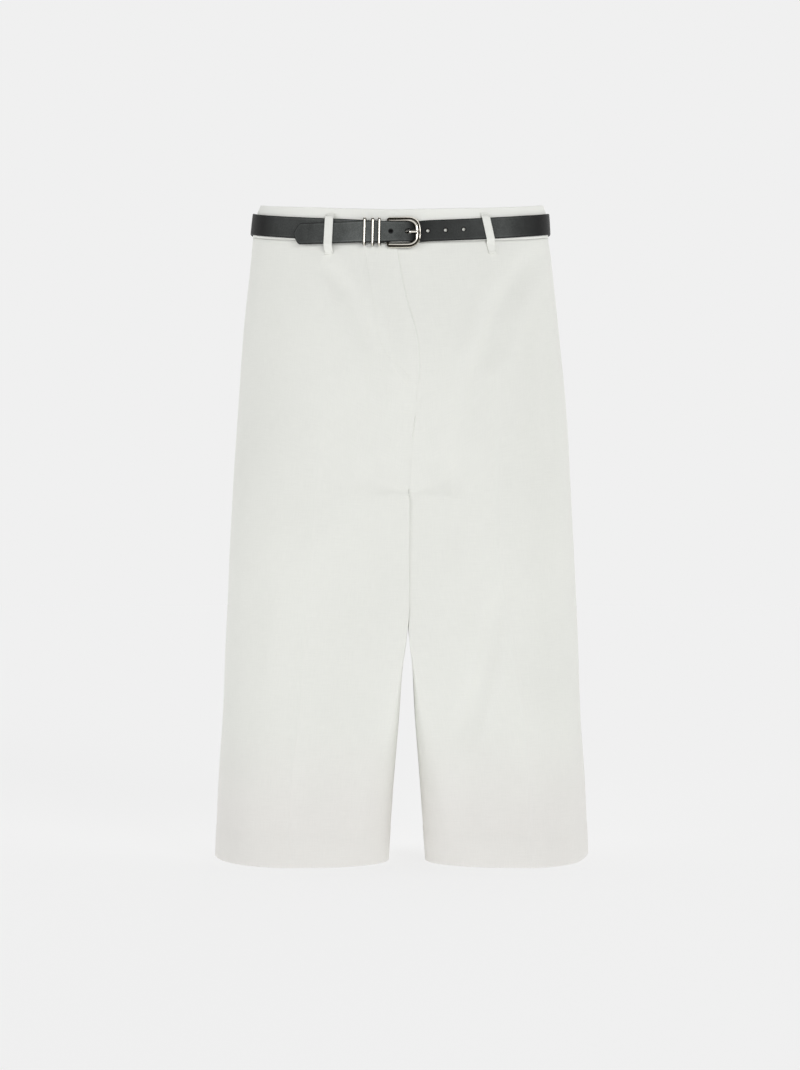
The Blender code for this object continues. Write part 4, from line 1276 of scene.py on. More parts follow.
@dataclass(frozen=True)
class FlyStitching:
    """The curved line of stitches that holds the fly's inside layer, as points (x, z)."""

    points: tuple[Pair, ...] = (
        (-0.0370, -0.0400),
        (-0.0330, -0.0650),
        (-0.0291, -0.0884),
        (-0.0255, -0.1120),
        (-0.0225, -0.1286),
        (-0.0141, -0.1467),
        (0.0000, -0.1575),
        (0.0091, -0.1680),
        (0.0152, -0.1735),
    )
    pitch: float = 0.0031
    reach: float = 0.0005
    proud: float = 0.00008

    def build(self, cloth: Thing, stitches: Stitches) -> Thing:
        """Lay the stitches on the panel.

        Args:
            cloth: the right front panel.
            stitches: the thread's sizes.

        Returns:
            The object.
        """
        path = resampled(np.array(self.points), 400, 120)
        run = run_lengths(path)
        at = np.arange(0.5 * self.pitch, run[-1], self.pitch)
        tree = BVHTree.FromObject(cloth, bpy.context.evaluated_depsgraph_get())

        def on_cloth(s: Array) -> tuple[Array, Array]:
            """Points and outward normals on the cloth at distances along the line."""
            found, out = [], []
            for x, z in zip(np.interp(s, run, path[:, 0]), np.interp(s, run, path[:, 1])):
                spot, normal, _, _ = tree.ray_cast(Vector((x, -0.3, z)), Vector((0.0, 1.0, 0.0)))
                found.append(spot)
                out.append(normal if normal.y < 0.0 else -normal)
            return np.array(found), np.array(out)

        places, outs = on_cloth(at)
        ways = unit(on_cloth(at + self.reach)[0] - on_cloth(at - self.reach)[0])
        return stitches.build("fly_stitching", places + outs * self.proud, ways, outs)


@dataclass(frozen=True)
class Hole:
    """A punched hole: its place, its half sizes, and how far its cutter goes past the strap."""

    x: float
    half_length: float
    half_height: float
    past: float


@dataclass(frozen=True)
class Strap:
    """The belt's strap, from its fold round the bar, round the waist, to the tail's tip.

    The rows of under, behind and over give, at a place across the front: x, the lift off the
    cloth, the sag, the trim of the edges and the tone, which is painted light and shade.
    """

    waist: Waist
    width: float = 0.0218
    thickness: float = 0.0021
    bar_x: float = BAR_X
    bar_lift: float = BAR_LIFT
    bar_radius: float = 0.0011
    fold_ply: float = 0.0009
    fold_clearance: float = 0.00025
    fold_narrowing: float = 0.0010
    tip_x: float = -0.1074
    tip_corner_x: float = -0.1008
    tip_half_share: float = 0.06
    tip_power: float = 1.7
    past_bar_x: float = -0.0227
    stations: tuple[int, int, int, int] = (420, 190, 100, 24)
    smoothing: tuple[int, int, int, int] = (3, 20, 10, 3)
    fold_arc: tuple[float, float, int] = (-105.0, 90.0, 40)
    end_round: float = 0.0009
    slot_x: Pair = (-0.0186, -0.0101)
    slot_lift: Pair = (0.0002, 0.00565)
    slot_half_height: float = 0.0017
    edge_line: float = 0.0017
    edge_round: float = 0.0008
    edge_steps: tuple[float, ...] = (
        0.0, 0.00012, 0.0004, 0.0008, 0.00125, 0.00145, 0.0016, 0.0017, 0.0018, 0.00195, 0.0022,
    )
    edge_thin: float = 0.75
    groove: float = 0.00016
    groove_width: float = 0.00022
    crown: float = 0.00008
    chamfer: float = 0.0008
    # The tone column is painted light and shade: near zero where the strap turns away round the
    # sides and where it comes out from under the buckle's frame, and rising and falling along the
    # front.
    under: tuple[tuple[float, ...], ...] = (
        (-0.0190, 0.00315, 0.0022, 0.0, 0.060),
        (-0.0400, 0.00315, 0.0010, 0.0, 0.090),
        (-0.0620, 0.00200, 0.0002, 0.0, 0.085),
        (-0.1000, 0.00230, 0.0000, 0.0, 0.048),
        (-0.1280, 0.00250, 0.0000, 0.0, 0.032),
        (-0.1400, 0.00250, 0.0004, 0.0, 0.001),
        (-0.1480, 0.00250, 0.0010, 0.0, 0.001),
    )
    behind: tuple[float, ...] = (0.0, 0.00250, 0.0, 0.0, 0.034)
    over: tuple[tuple[float, ...], ...] = (
        (0.1480, 0.00250, 0.0009, 0.0, 0.001),
        (0.1380, 0.00250, 0.0001, 0.0, 0.001),
        (0.1250, 0.00250, -0.0005, 0.0, 0.022),
        (0.1000, 0.00215, -0.0003, 0.0, 0.060),
        (0.0720, 0.00200, 0.0002, 0.0, 0.036),
        (0.0260, 0.00200, 0.0007, 0.0, 0.024),
        (0.0145, 0.00200, 0.0014, 0.0003, 0.010),
        (0.0130, 0.00205, 0.0015, 0.0004, 0.004),
        (0.0105, 0.00310, 0.0016, 0.0005, 0.004),
        (0.0070, 0.00495, 0.0017, 0.0006, 0.030),
        (0.0035, 0.00650, 0.0018, 0.0006, 0.055),
        (-0.0010, 0.00710, 0.0018, 0.0006, 0.065),
        (-0.0155, 0.00710, 0.0020, 0.0004, 0.080),
        (-0.0215, 0.00590, 0.0021, 0.0, 0.090),
        (-0.0400, 0.00590, 0.0025, 0.0, 0.105),
        (-0.0620, 0.00475, 0.0040, 0.0, 0.070),
        (-0.1010, 0.00475, 0.0066, 0.0, 0.040),
        (-0.1074, 0.00475, 0.0070, 0.0, 0.036),
    )
    holes: tuple[Hole, ...] = (
        Hole(-0.0111, 0.0014, 0.0009, -0.0004),
        Hole(0.0071, 0.0035, 0.0023, 0.0020),
        Hole(0.0259, 0.0016, 0.0015, 0.00014),
        Hole(0.0437, 0.0016, 0.0015, 0.00014),
        Hole(0.0620, 0.0016, 0.0015, 0.00014),
    )

    def lines(self) -> tuple[Array, Array, Array, Array, Array]:
        """Middle line (along, lift), thickness, half width, sag and tone (painted light and shade)
        at each station.
        """
        waist = self.waist
        bar = waist.along(self.bar_x)
        turn = self.bar_radius + self.fold_clearance + 0.5 * self.fold_ply
        fold = circle_arc(bar, self.bar_lift, turn, *self.fold_arc)
        once = waist.length
        first, tail = waist.along(self.under[0][0]), waist.along(self.over[1][0])
        corner, tip = waist.along(self.tip_corner_x), waist.along(self.tip_x)
        marks = [first, *(s - once for s in (tail, waist.along(self.past_bar_x), corner, tip))]
        s = np.concatenate(
            [
                np.linspace(start, end, count)[k > 0 :]
                for k, (start, end, count) in enumerate(zip(marks, marks[1:], self.stations))
            ]
        )
        below, above = (waist.along(np.array(rows)[:, 0]) for rows in (self.under, self.over))
        knots = np.concatenate([below, [-0.5 * once], above - once])
        columns = np.array([*self.under, self.behind, *self.over]).T[1:]
        lift, sag, trim, tone = (
            smoothed(np.interp(-s, -knots, column), passes)
            for column, passes in zip(columns, self.smoothing)
        )
        path = np.concatenate([fold, np.stack([s, lift], 1)])
        half = 0.5 * self.width - np.append(np.full(len(fold), self.fold_narrowing), trim)
        past_corner = path[:, 0] < corner - once
        gone = 1.0 - (path[past_corner, 0] - (tip - once)) / (corner - tip)
        half[past_corner] *= 1.0 - (1.0 - self.tip_half_share) * gone**self.tip_power
        ramp = ease(np.arange(len(path)), len(fold) - 0.5, len(fold) + 6.0)
        ramp[: len(fold)] = 0.0
        thick = self.fold_ply + (self.thickness - self.fold_ply) * ramp
        end = run_lengths(path)[-1] - run_lengths(path)
        thick = thick * np.sqrt(np.clip(end / self.end_round, 0.12, 1.0))
        sag, tone = (np.append(np.full(len(fold), v[0]), v) for v in (sag, tone))
        return path, thick, half, sag, tone

    def section(self, half: Array, thick: Array) -> tuple[Array, Array]:
        """Section at each station: heights across the strap and offsets through it.

        The long faces crown slightly, the edges are rounded, and a pressed line runs along
        both edges of the outer face.

        Args:
            half: half width at each station.
            thick: thickness at each station.

        Returns:
            Heights and offsets, one row for each station.
        """
        rim, full = self.edge_steps[-1], 0.5 * self.width
        inset = np.concatenate([self.edge_steps[:-1], np.linspace(rim, full, 12)])
        round_in = 1.0 - np.clip(inset / self.edge_round, 0.0, 1.0)
        drop = 1.0 - np.sqrt(np.clip(1.0 - round_in**2, 0.0, 1.0))
        groove = self.groove * bell(inset - self.edge_line, self.groove_width)
        scale = (half / full)[:, None]
        height = half[:, None] - inset * np.where(inset < rim, np.minimum(1.0, scale * 2.0), scale)
        inward = -0.5 * thick[:, None] * (1.0 - self.edge_thin * drop)
        outer = self.crown * ease(inset, 0.0, 0.011) - groove - inward
        heights = np.hstack([height, -height[:, -2::-1], -height[:, 1:], height[:, -2:0:-1]])
        offsets = np.hstack([outer, outer[:, -2::-1], inward[:, 1:], inward[:, -2:0:-1]])
        offsets[:, 0] *= 0.98
        return heights, offsets

    def build(self) -> Thing:
        """Make the strap and punch its holes.

        Returns:
            The object.
        """
        path, thick, half, sag, tone = self.lines()
        heights, offsets = self.section(half, thick)
        s, lift = beside(path, offsets)
        rings = self.waist.place(s, lift, heights - sag[:, None])
        slope = np.gradient(half, run_lengths(path))[:, None]
        inset = (half[:, None] - np.abs(heights)) / np.sqrt(1.0 + slope**2)
        # UV u carries the painted light and shade along the strap, v the inset from its edge.
        uv = paired(tone[:, None], np.hstack([inset, inset[:, :1]]))
        strap = tube("belt_strap", rings, False, uv, sharp=42.0)
        punched(strap, [*(self.pin(hole) for hole in self.holes), self.slot_box()])
        return strap

    def at(self, x: float) -> Pair:
        """Lift and sag of the outer layer at a place across the front."""
        places, lift, sag = np.array(self.over).T[:3]
        return float(np.interp(-x, -places, lift)), float(np.interp(-x, -places, sag))

    def hole_places(self, bored: bool) -> tuple[Vector, ...]:
        """Middles of the holes at the strap's inner face.

        Args:
            bored: True for the free round holes alone, False for every hole.

        Returns:
            World points, one for each hole.
        """
        places = []
        for hole in self.holes:
            if bored and not 0.0 < hole.past < 0.001:
                continue
            lift, sag = self.at(hole.x)
            s = self.waist.along(hole.x)
            places.append(Vector(self.waist.place(s, lift - 0.5 * self.thickness, np.array(-sag))))
        return tuple(places)

    def pin(self, hole: Hole) -> Thing:
        """An oval pin that reaches outwards past the strap and widens at its outer face."""
        turn = np.linspace(0.0, TAU, 28, endpoint=False)[None]
        lift, sag = self.at(hole.x)
        floor = lift - 0.5 * self.thickness - hole.past
        mouth = lift + 0.5 * self.thickness
        levels = np.array([floor, mouth - self.chamfer, mouth + 0.0004, floor + 0.0075])[:, None]
        wider = np.array([0.0, 0.0, self.chamfer, self.chamfer])[:, None]
        s = self.waist.along(hole.x) + (hole.half_length + wider) * np.cos(turn)
        rings = self.waist.place(s, levels, (hole.half_height + wider) * np.sin(turn) - sag)
        return tube("cutter", rings, False)

    def slot_box(self) -> Thing:
        """A box that frees the prong's curl in the strap's fold."""
        s = self.waist.along([*self.slot_x, *self.slot_x[::-1]])
        height = self.slot_half_height * np.array([-1.0, -1.0, 1.0, 1.0]) - self.under[0][2]
        rings = self.waist.place(s, np.array(self.slot_lift)[:, None], height)
        return tube("cutter", rings, False)


def punched(piece: Thing, cutters: Sequence[Thing]) -> None:
    """Subtract cutters from a piece for good, and remove them.

    Args:
        piece: the object, whose mesh is replaced.
        cutters: closed bodies.
    """
    for cutter in cutters:
        modifier = piece.modifiers.new("cut", "BOOLEAN")
        modifier.operation = "DIFFERENCE"
        modifier.solver = "EXACT"
        modifier.object = cutter
    graph = bpy.context.evaluated_depsgraph_get()
    mesh = bpy.data.meshes.new_from_object(piece.evaluated_get(graph))
    piece.modifiers.clear()
    old = piece.data
    piece.data = mesh
    mesh.name = piece.name
    bpy.data.meshes.remove(old)
    for cutter in cutters:
        bpy.data.objects.remove(cutter, do_unlink=True)
    mesh.shade_smooth()
    mesh.set_sharp_from_angle(angle=math.radians(38.0))


def joined(piece: Thing, part: Thing) -> None:
    """Take a part's mesh into a piece, and remove the part.

    Args:
        piece: the object that stays.
        part: the object whose mesh it takes.
    """
    both = bmesh.new()
    both.from_mesh(piece.data)
    both.from_mesh(part.data)
    both.to_mesh(piece.data)
    both.free()
    bpy.data.objects.remove(part, do_unlink=True)


@dataclass(frozen=True)
class Corner:
    """A corner of an outline: place along and up, its radius and its points."""

    x: float
    height: float
    radius: float
    steps: int


def rounded_loop(corners: Sequence[Corner], runs: int) -> Array:
    """A closed outline through corners in turn, each rounded by an arc.

    Args:
        corners: the corners.
        runs: points on each straight between two arcs.

    Returns:
        Points of the outline.
    """
    places = np.array([(c.x, c.height) for c in corners])
    arcs = []
    for k, corner in enumerate(corners):
        before = unit(places[k - 1] - places[k])
        after = unit(places[(k + 1) % len(corners)] - places[k])
        half_angle = 0.5 * math.acos(float(np.clip(before @ after, -1.0, 1.0)))
        run = corner.radius / math.tan(half_angle)
        middle = places[k] + unit(before + after) * corner.radius / math.sin(half_angle)
        t = np.linspace(0.0, 1.0, corner.steps)[:, None]
        edge = places[k] + before * run * (1.0 - t) + after * run * t - middle
        arcs.append(middle + unit(edge) * corner.radius)
    points = []
    for k, arc in enumerate(arcs):
        following = arcs[(k + 1) % len(arcs)][0]
        t = np.linspace(0.0, 1.0, runs + 2)[1:-1, None]
        points += [arc, arc[-1] + (following - arc[-1]) * t]
    return np.concatenate(points)


@dataclass(frozen=True)
class Keeper:
    """A thin metal keeper round both layers of the strap."""

    waist: Waist
    number: int
    x: float
    width: float = 0.0026
    thickness: float = 0.0012
    half_height: float = 0.0137
    corner: float = 0.0019
    shift: float = BUCKLE_DOWN
    low: float = 0.00113
    high: float = 0.00785
    painted_reflection_shade_middle: float = 0.06
    painted_reflection_shade_span: Pair = (0.12, 0.36)

    def build(self) -> Thing:
        """Make the keeper: a half-round section carried round a rounded rectangle.

        Returns:
            The object.
        """
        half = self.half_height
        places = ((-half, self.low), (half, self.low), (half, self.high), (-half, self.high))
        path = rounded_loop([Corner(h, lift, self.corner, 9) for h, lift in places], 8)
        turn = np.linspace(0.0, math.pi, 13)
        across = np.append(np.cos(turn), [-0.92, 0.0, 0.92]) * 0.5 * self.width
        through = np.append(0.9 * np.sin(turn) - 0.3, [-0.4, -0.4, -0.4]) * self.thickness
        height, lift = beside(path, through[None], closed=True)
        rings = self.waist.place(self.waist.along(self.x) + across, lift, height + self.shift)
        # painted reflection and shade: dark on both sides of the keeper's half-round bar, light
        # along its middle
        off_middle = np.abs(across / self.width - self.painted_reflection_shade_middle)
        painted_reflection_shade = ease(off_middle, *self.painted_reflection_shade_span)
        uv = paired(np.zeros((len(path) + 1, 1)), np.append(painted_reflection_shade, painted_reflection_shade[0]))
        return tube(f"belt_keeper_{self.number}", rings, True, uv, sharp=METAL_SHARP)


# The frame's section, point by point: how far out it is on the arms and on the outer side,
# its share of the height, and how much painted dark reflection and shade it carries.
FRAME_SECTION = (
    (0.0021, 0.0021, 0.10, 0.3),
    (0.0019, 0.0019, 0.50, 0.1),
    (0.0015, 0.0015, 0.78, 0.0),
    (0.0011, 0.0010, 0.72, 0.1),
    (0.0008, 0.0005, 0.36, 1.0),
    (0.0000, 0.0000, 0.22, 1.0),
    (-0.0009, -0.0005, 0.45, 1.0),
    (-0.0012, -0.0010, 0.88, 0.2),
    (-0.0017, -0.0017, 1.00, 0.0),
    (-0.0022, -0.0025, 0.84, 0.2),
    (-0.0026, -0.0033, 0.42, 0.9),
    (-0.0028, -0.0038, 0.05, 1.0),
    (-0.0024, -0.0034, -0.10, 1.0),
    (0.0017, 0.0017, -0.10, 1.0),
)


@dataclass(frozen=True)
class BuckleFrame:
    """The buckle's frame: a double-ridged D with a thin bar between its arms' ends."""

    waist: Waist
    bar_x: float = BAR_X
    bar_lift: float = BAR_LIFT
    bar_radius: float = 0.0010
    end_x: float = -0.0144
    shift: float = BUCKLE_DOWN
    outer_x: float = 0.0160
    half_arm: float = 0.0138
    half_outer: float = 0.0140
    corner: float = 0.0098
    bulge: float = 0.0010
    side_radius: float = 0.0300
    end_radius: float = 0.0001
    end_fade: float = 0.0009
    end_share: float = 0.35
    middle: float = 0.3
    base: Pair = (0.0023, 0.0041)
    tall: Pair = (0.0018, 0.0024)

    def build(self) -> Thing:
        """Make the frame: the moulded section carried along the D, and the bar.

        Returns:
            The object.
        """
        runs = 12
        corners = (
            Corner(self.end_x, -self.half_arm, self.end_radius, 2),
            Corner(self.outer_x, -self.half_outer, self.corner, 26),
            Corner(self.outer_x + self.bulge, 0.0, self.side_radius, 8),
            Corner(self.outer_x, self.half_outer, self.corner, 26),
            Corner(self.end_x, self.half_arm, self.end_radius, 2),
        )
        path = rounded_loop(corners, runs)[1 : -runs - 1]
        share = ease(path[:, :1], self.end_x, self.outer_x)
        arm, side, height, painted_reflection_shade = np.array(FRAME_SECTION).T[:, None]
        run = run_lengths(path)
        end = np.clip(np.minimum(run, run[-1] - run) / self.end_fade, 0.0, 1.0)[:, None]
        full = self.end_share + (1.0 - self.end_share) * np.sqrt(1.0 - (1.0 - end) ** 2)
        across = (arm + (side - arm) * share) * full
        base = self.base[0] + (self.base[1] - self.base[0]) * share
        tall = self.tall[0] + (self.tall[1] - self.tall[0]) * share
        s, up = beside(path, across)
        lift = base + tall * (self.middle + (height - self.middle) * full)
        rings = self.waist.place(self.waist.along(0.0) + s, lift, up + self.shift)
        # painted reflection and shade: dark in the section's groove, on its outer flank and back,
        # and at the arms' ends
        dark = np.maximum(painted_reflection_shade, 1.0 - end)
        uv = paired(0.0, np.hstack([dark, dark[:, :1]]))
        frame = tube("belt_buckle_frame", rings, False, uv, sharp=METAL_SHARP)
        turn = np.linspace(0.0, TAU, 20, endpoint=False)[None]
        ends = np.array([[-self.half_arm], [self.half_arm]]) + self.shift
        s = self.waist.along(self.bar_x) + self.bar_radius * np.cos(turn)
        bar = self.waist.place(s, self.bar_lift + self.bar_radius * np.sin(turn), ends)
        # the bar is painted dark all over, painted reflection and shade
        joined(frame, tube("bar", bar, False, np.ones((2, 21, 2)), sharp=METAL_SHARP))
        return frame


@dataclass(frozen=True)
class Prong:
    """The prong: curled round the bar, up through its hole and onto the frame."""

    waist: Waist
    bar_x: float = BAR_X
    bar_lift: float = BAR_LIFT
    turn: float = 0.00175
    width: float = 0.0024
    ply: float = 0.0008
    curl_arc: tuple[float, float, int] = (340.0, 70.0, 30)
    end_round: float = 0.0007
    end_share: float = 0.35
    power: float = 0.9
    painted_reflection_shade_span: Pair = (0.6, 0.95)
    samples: int = 150
    shift: float = BUCKLE_DOWN
    places: tuple[tuple[float, float, float, float], ...] = (
        (-0.0105, 0.00400, 0.0008, 0.0024),
        (-0.0070, 0.00330, 0.0009, 0.0024),
        (0.0036, 0.00320, 0.0012, 0.0024),
        (0.0058, 0.00440, 0.0017, 0.0024),
        (0.0080, 0.00680, 0.0017, 0.0026),
        (0.0100, 0.00760, 0.0018, 0.0028),
        (0.0125, 0.00775, 0.0018, 0.0029),
        (0.0144, 0.00770, 0.0018, 0.0027),
        (0.0161, 0.00715, 0.0011, 0.0014),
    )

    def build(self) -> Thing:
        """Make the prong: a rounded section carried along its line.

        Returns:
            The object.
        """
        curl = circle_arc(self.waist.along(self.bar_x), self.bar_lift, self.turn, *self.curl_arc)
        rest = np.array(self.places)
        rise = np.stack([self.waist.along(rest[:, 0]), rest[:, 1]], 1)
        knots = np.concatenate([curl, rise])
        run = run_lengths(knots)
        thick = np.append(np.full(len(curl), self.ply), rest[:, 2])
        wide = np.append(np.full(len(curl), self.width), rest[:, 3])
        at = np.linspace(0.0, run[-1], self.samples)
        path = resampled(knots, self.samples, 5)
        thick, wide = (smoothed(np.interp(at, run, v), 6)[:, None] for v in (thick, wide))
        end = np.minimum(1.0, np.minimum(run[-1] - at, at) / self.end_round)[:, None]
        closing = self.end_share + (1.0 - self.end_share) * np.sqrt(end)
        turn = np.linspace(0.0, TAU, 21)[None, :]
        through, height = (
            0.5 * closing * size * np.sign(wave) * np.abs(wave) ** self.power
            for size, wave in ((thick, np.sin(turn)), (wide, np.cos(turn)))
        )
        s, lift = beside(path, through)
        rings = self.waist.place(s, lift, height + self.shift)[:, :-1]
        # painted reflection and shade: dark along both sides of the prong
        uv = paired(0.0 * s, ease(np.abs(np.cos(turn)), *self.painted_reflection_shade_span))
        return tube("belt_buckle_prong", rings, False, uv, sharp=METAL_SHARP)


class Graph:
    """The node tree of a material or a world, with short ways to add and join nodes."""

    def __init__(self, owner: Material | bpy.types.World) -> None:
        """Start with the shader that Blender gives a new material or world."""
        owner.use_nodes = True
        self.owner = owner
        self.tree = owner.node_tree
        shaders = ("BSDF_PRINCIPLED", "BACKGROUND")
        self.shader = next(node for node in self.tree.nodes if node.type in shaders)

    def node(
        self, kind: str, settings: dict[str, object] | None = None, **inputs: object
    ) -> bpy.types.Node:
        """Add a node.

        Args:
            kind: the node's type without its ShaderNode prefix.
            settings: attributes of the node.
            inputs: values or sockets for its inputs, by name with _ for a space, or by number
                as i0, i1 and so on.

        Returns:
            The node.
        """
        made = self.tree.nodes.new("ShaderNode" + kind)
        for key, value in (settings or {}).items():
            setattr(made, key, value)
        for key, value in inputs.items():
            number = key[0] == "i" and key[1:].isdigit()
            self.set(made.inputs[int(key[1:]) if number else key.replace("_", " ")], value)
        return made

    def set(self, socket: Socket, value: object) -> None:
        """Join a socket, or set its value."""
        if isinstance(value, Socket):
            self.tree.links.new(value, socket)
        else:
            socket.default_value = value

    def math(self, operation: str, *values: object) -> Socket:
        """Add a Math node and return its output."""
        inputs = {f"i{k}": value for k, value in enumerate(values)}
        return self.node("Math", {"operation": operation}, **inputs).outputs[0]

    def vector(
        self, operation: str, first: object, second: object, output: str = "Vector"
    ) -> Socket:
        """Add a Vector Math node and return one of its outputs."""
        made = self.node("VectorMath", {"operation": operation}, i0=first, i1=second)
        return made.outputs[output]

    def mapped(self, place: object, scale: Triple) -> Socket:
        """A place stretched by a scale along each axis."""
        return self.node("Mapping", i0=place, i3=scale).outputs[0]

    def times(self, first: object, second: object) -> Socket:
        """Product of two values."""
        return self.math("MULTIPLY", first, second)

    def weighed(self, first: object, share: float, second: object, other: float) -> Socket:
        """Sum of two values, each times its share."""
        return self.math("ADD", self.times(first, share), self.times(second, other))

    def ramp(
        self, value: object, start: float, end: float, low: float = 0.0, high: float = 1.0
    ) -> Socket:
        """A value taken from a span to another, and clamped to it."""
        return self.node("MapRange", i0=value, i1=start, i2=end, i3=low, i4=high).outputs[0]

    def noise(
        self, place: object, scale: float, detail: float, rough: float = 0.5
    ) -> bpy.types.Node:
        """Noise over a place."""
        return self.node("TexNoise", Vector=place, Scale=scale, Detail=detail, Roughness=rough)

    def spot(self) -> Socket:
        """The point in the object's own frame."""
        return self.node("TexCoord").outputs["Object"]

    def sheet_place(self) -> Socket:
        """The point's UV place."""
        return self.node("UVMap", {"uv_map": "UVMap"}).outputs[0]

    def split(self, vector: object) -> bpy.types.NodeOutputs:
        """The three parts of a vector."""
        return self.node("SeparateXYZ", i0=vector).outputs

    def bump(self, height: object, strength: float, depth: float) -> bpy.types.Node:
        """Relief of a height."""
        return self.node("Bump", Strength=strength, Distance=depth, Height=height)

    def blend(self, share: object, first: object, second: object) -> Socket:
        """Mix two colours and return the result."""
        mix = self.node("Mix", {"data_type": "RGBA"}, i0=share, i6=first, i7=second)
        return mix.outputs[2]

    def surface(self, **inputs: object) -> None:
        """Set inputs of the shader, by name with _ for a space."""
        for key, value in inputs.items():
            self.set(self.shader.inputs[key.replace("_", " ")], value)


def rgba(colour: Sequence[float]) -> tuple[float, float, float, float]:
    """A colour with full alpha."""
    return (*colour, 1.0)


BLACK, WHITE = rgba((0.0, 0.0, 0.0)), rgba((1.0, 1.0, 1.0))


@dataclass(frozen=True)
class ClothFinish:
    """Off-white suiting in a fine twill, with faint slubs and an uneven tone."""

    name: str = "culottes_suiting"
    light: Triple = (0.885, 0.893, 0.848)
    dark: Triple = (0.830, 0.838, 0.795)
    # painted shade: between these heights the colour is multiplied by this tint, darker towards the
    # hems
    hem_painted_shade_tint: Triple = (0.972, 0.949, 0.962)
    hem_painted_shade_heights: Pair = (-0.520, -0.605)
    twill: float = 0.00085
    yarn: float = 0.00042
    relief: float = 0.00007
    weave_parts: Pair = (0.35, 0.25)
    tone_parts: Pair = (0.55, 0.45)
    slub_relief: float = 1.6
    rough: Pair = (0.80, 0.92)
    slub_scales: tuple[Triple, ...] = ((900.0, 70.0, 1.0), (60.0, 1100.0, 1.0))

    def material(self) -> Material:
        """Build the finish: relief is sines of the UV place, tone is stretched noise.

        Towards the hems the cloth is painted a little greyer and warmer by the object's height, a
        painted shade.

        Returns:
            The material.
        """
        g = Graph(bpy.data.materials.new(self.name))
        place, spot = g.sheet_place(), g.spot()
        u, v = g.split(place)[:2]
        diagonal = g.math("SINE", g.times(g.math("ADD", u, v), TAU / self.twill))
        warp, weft = (g.math("SINE", g.times(way, TAU / self.yarn)) for way in (u, v))
        weave = g.weighed(diagonal, self.weave_parts[0], g.times(warp, weft), self.weave_parts[1])
        slubs = []
        for scale in self.slub_scales:
            noise = g.noise(g.mapped(place, scale), 1.0, 2.0)
            noise.noise_dimensions = "2D"
            slubs.append(noise.outputs[0])
        slub = g.weighed(slubs[0], 0.5, slubs[1], 0.5)
        cloud = g.noise(spot, 9.0, 3.0, 0.55).outputs[0]
        tone = g.weighed(slub, self.tone_parts[0], cloud, self.tone_parts[1])
        tone = g.ramp(tone, 0.30, 0.70)
        relief = g.math("ADD", weave, g.times(slub, self.slub_relief))
        # painted shade towards the hems, by the object's height
        low = g.ramp(g.split(spot)[2], *self.hem_painted_shade_heights)
        shades = np.array([self.dark, self.light])
        upper, lower = (
            g.blend(tone, *(rgba(shade.tolist()) for shade in shades * tint))
            for tint in (1.0, np.array(self.hem_painted_shade_tint))
        )
        g.surface(
            Base_Color=g.blend(low, upper, lower),
            Roughness=g.ramp(slub, 0.3, 0.7, *self.rough),
            Normal=g.bump(relief, 0.75, self.relief).outputs[0],
            Specular_IOR_Level=0.22,
            Sheen_Weight=0.10,
            Sheen_Roughness=0.45,
            Sheen_Tint=rgba((1.0, 0.99, 0.96)),
        )
        return g.owner


@dataclass(frozen=True)
class ThreadFinish:
    """Sewing thread, a shade deeper than the cloth, with a twist."""

    name: str = "culottes_thread"
    light: Triple = (0.860, 0.868, 0.822)
    dark: Triple = (0.775, 0.782, 0.738)
    twist: float = 700.0

    def material(self) -> Material:
        """Build the finish: fine bands of the object place, as a twisted thread has."""
        g = Graph(bpy.data.materials.new(self.name))
        bands = {"bands_direction": "DIAGONAL"}
        wave = g.node("TexWave", bands, Vector=g.spot(), Scale=self.twist, Distortion=1.0)
        twist = wave.outputs[1]
        g.surface(
            Base_Color=g.blend(twist, rgba(self.dark), rgba(self.light)),
            Roughness=g.ramp(twist, 0.0, 1.0, 0.5, 0.7),
            Normal=g.bump(twist, 0.5, 0.00005).outputs[0],
            Sheen_Weight=0.15,
        )
        return g.owner


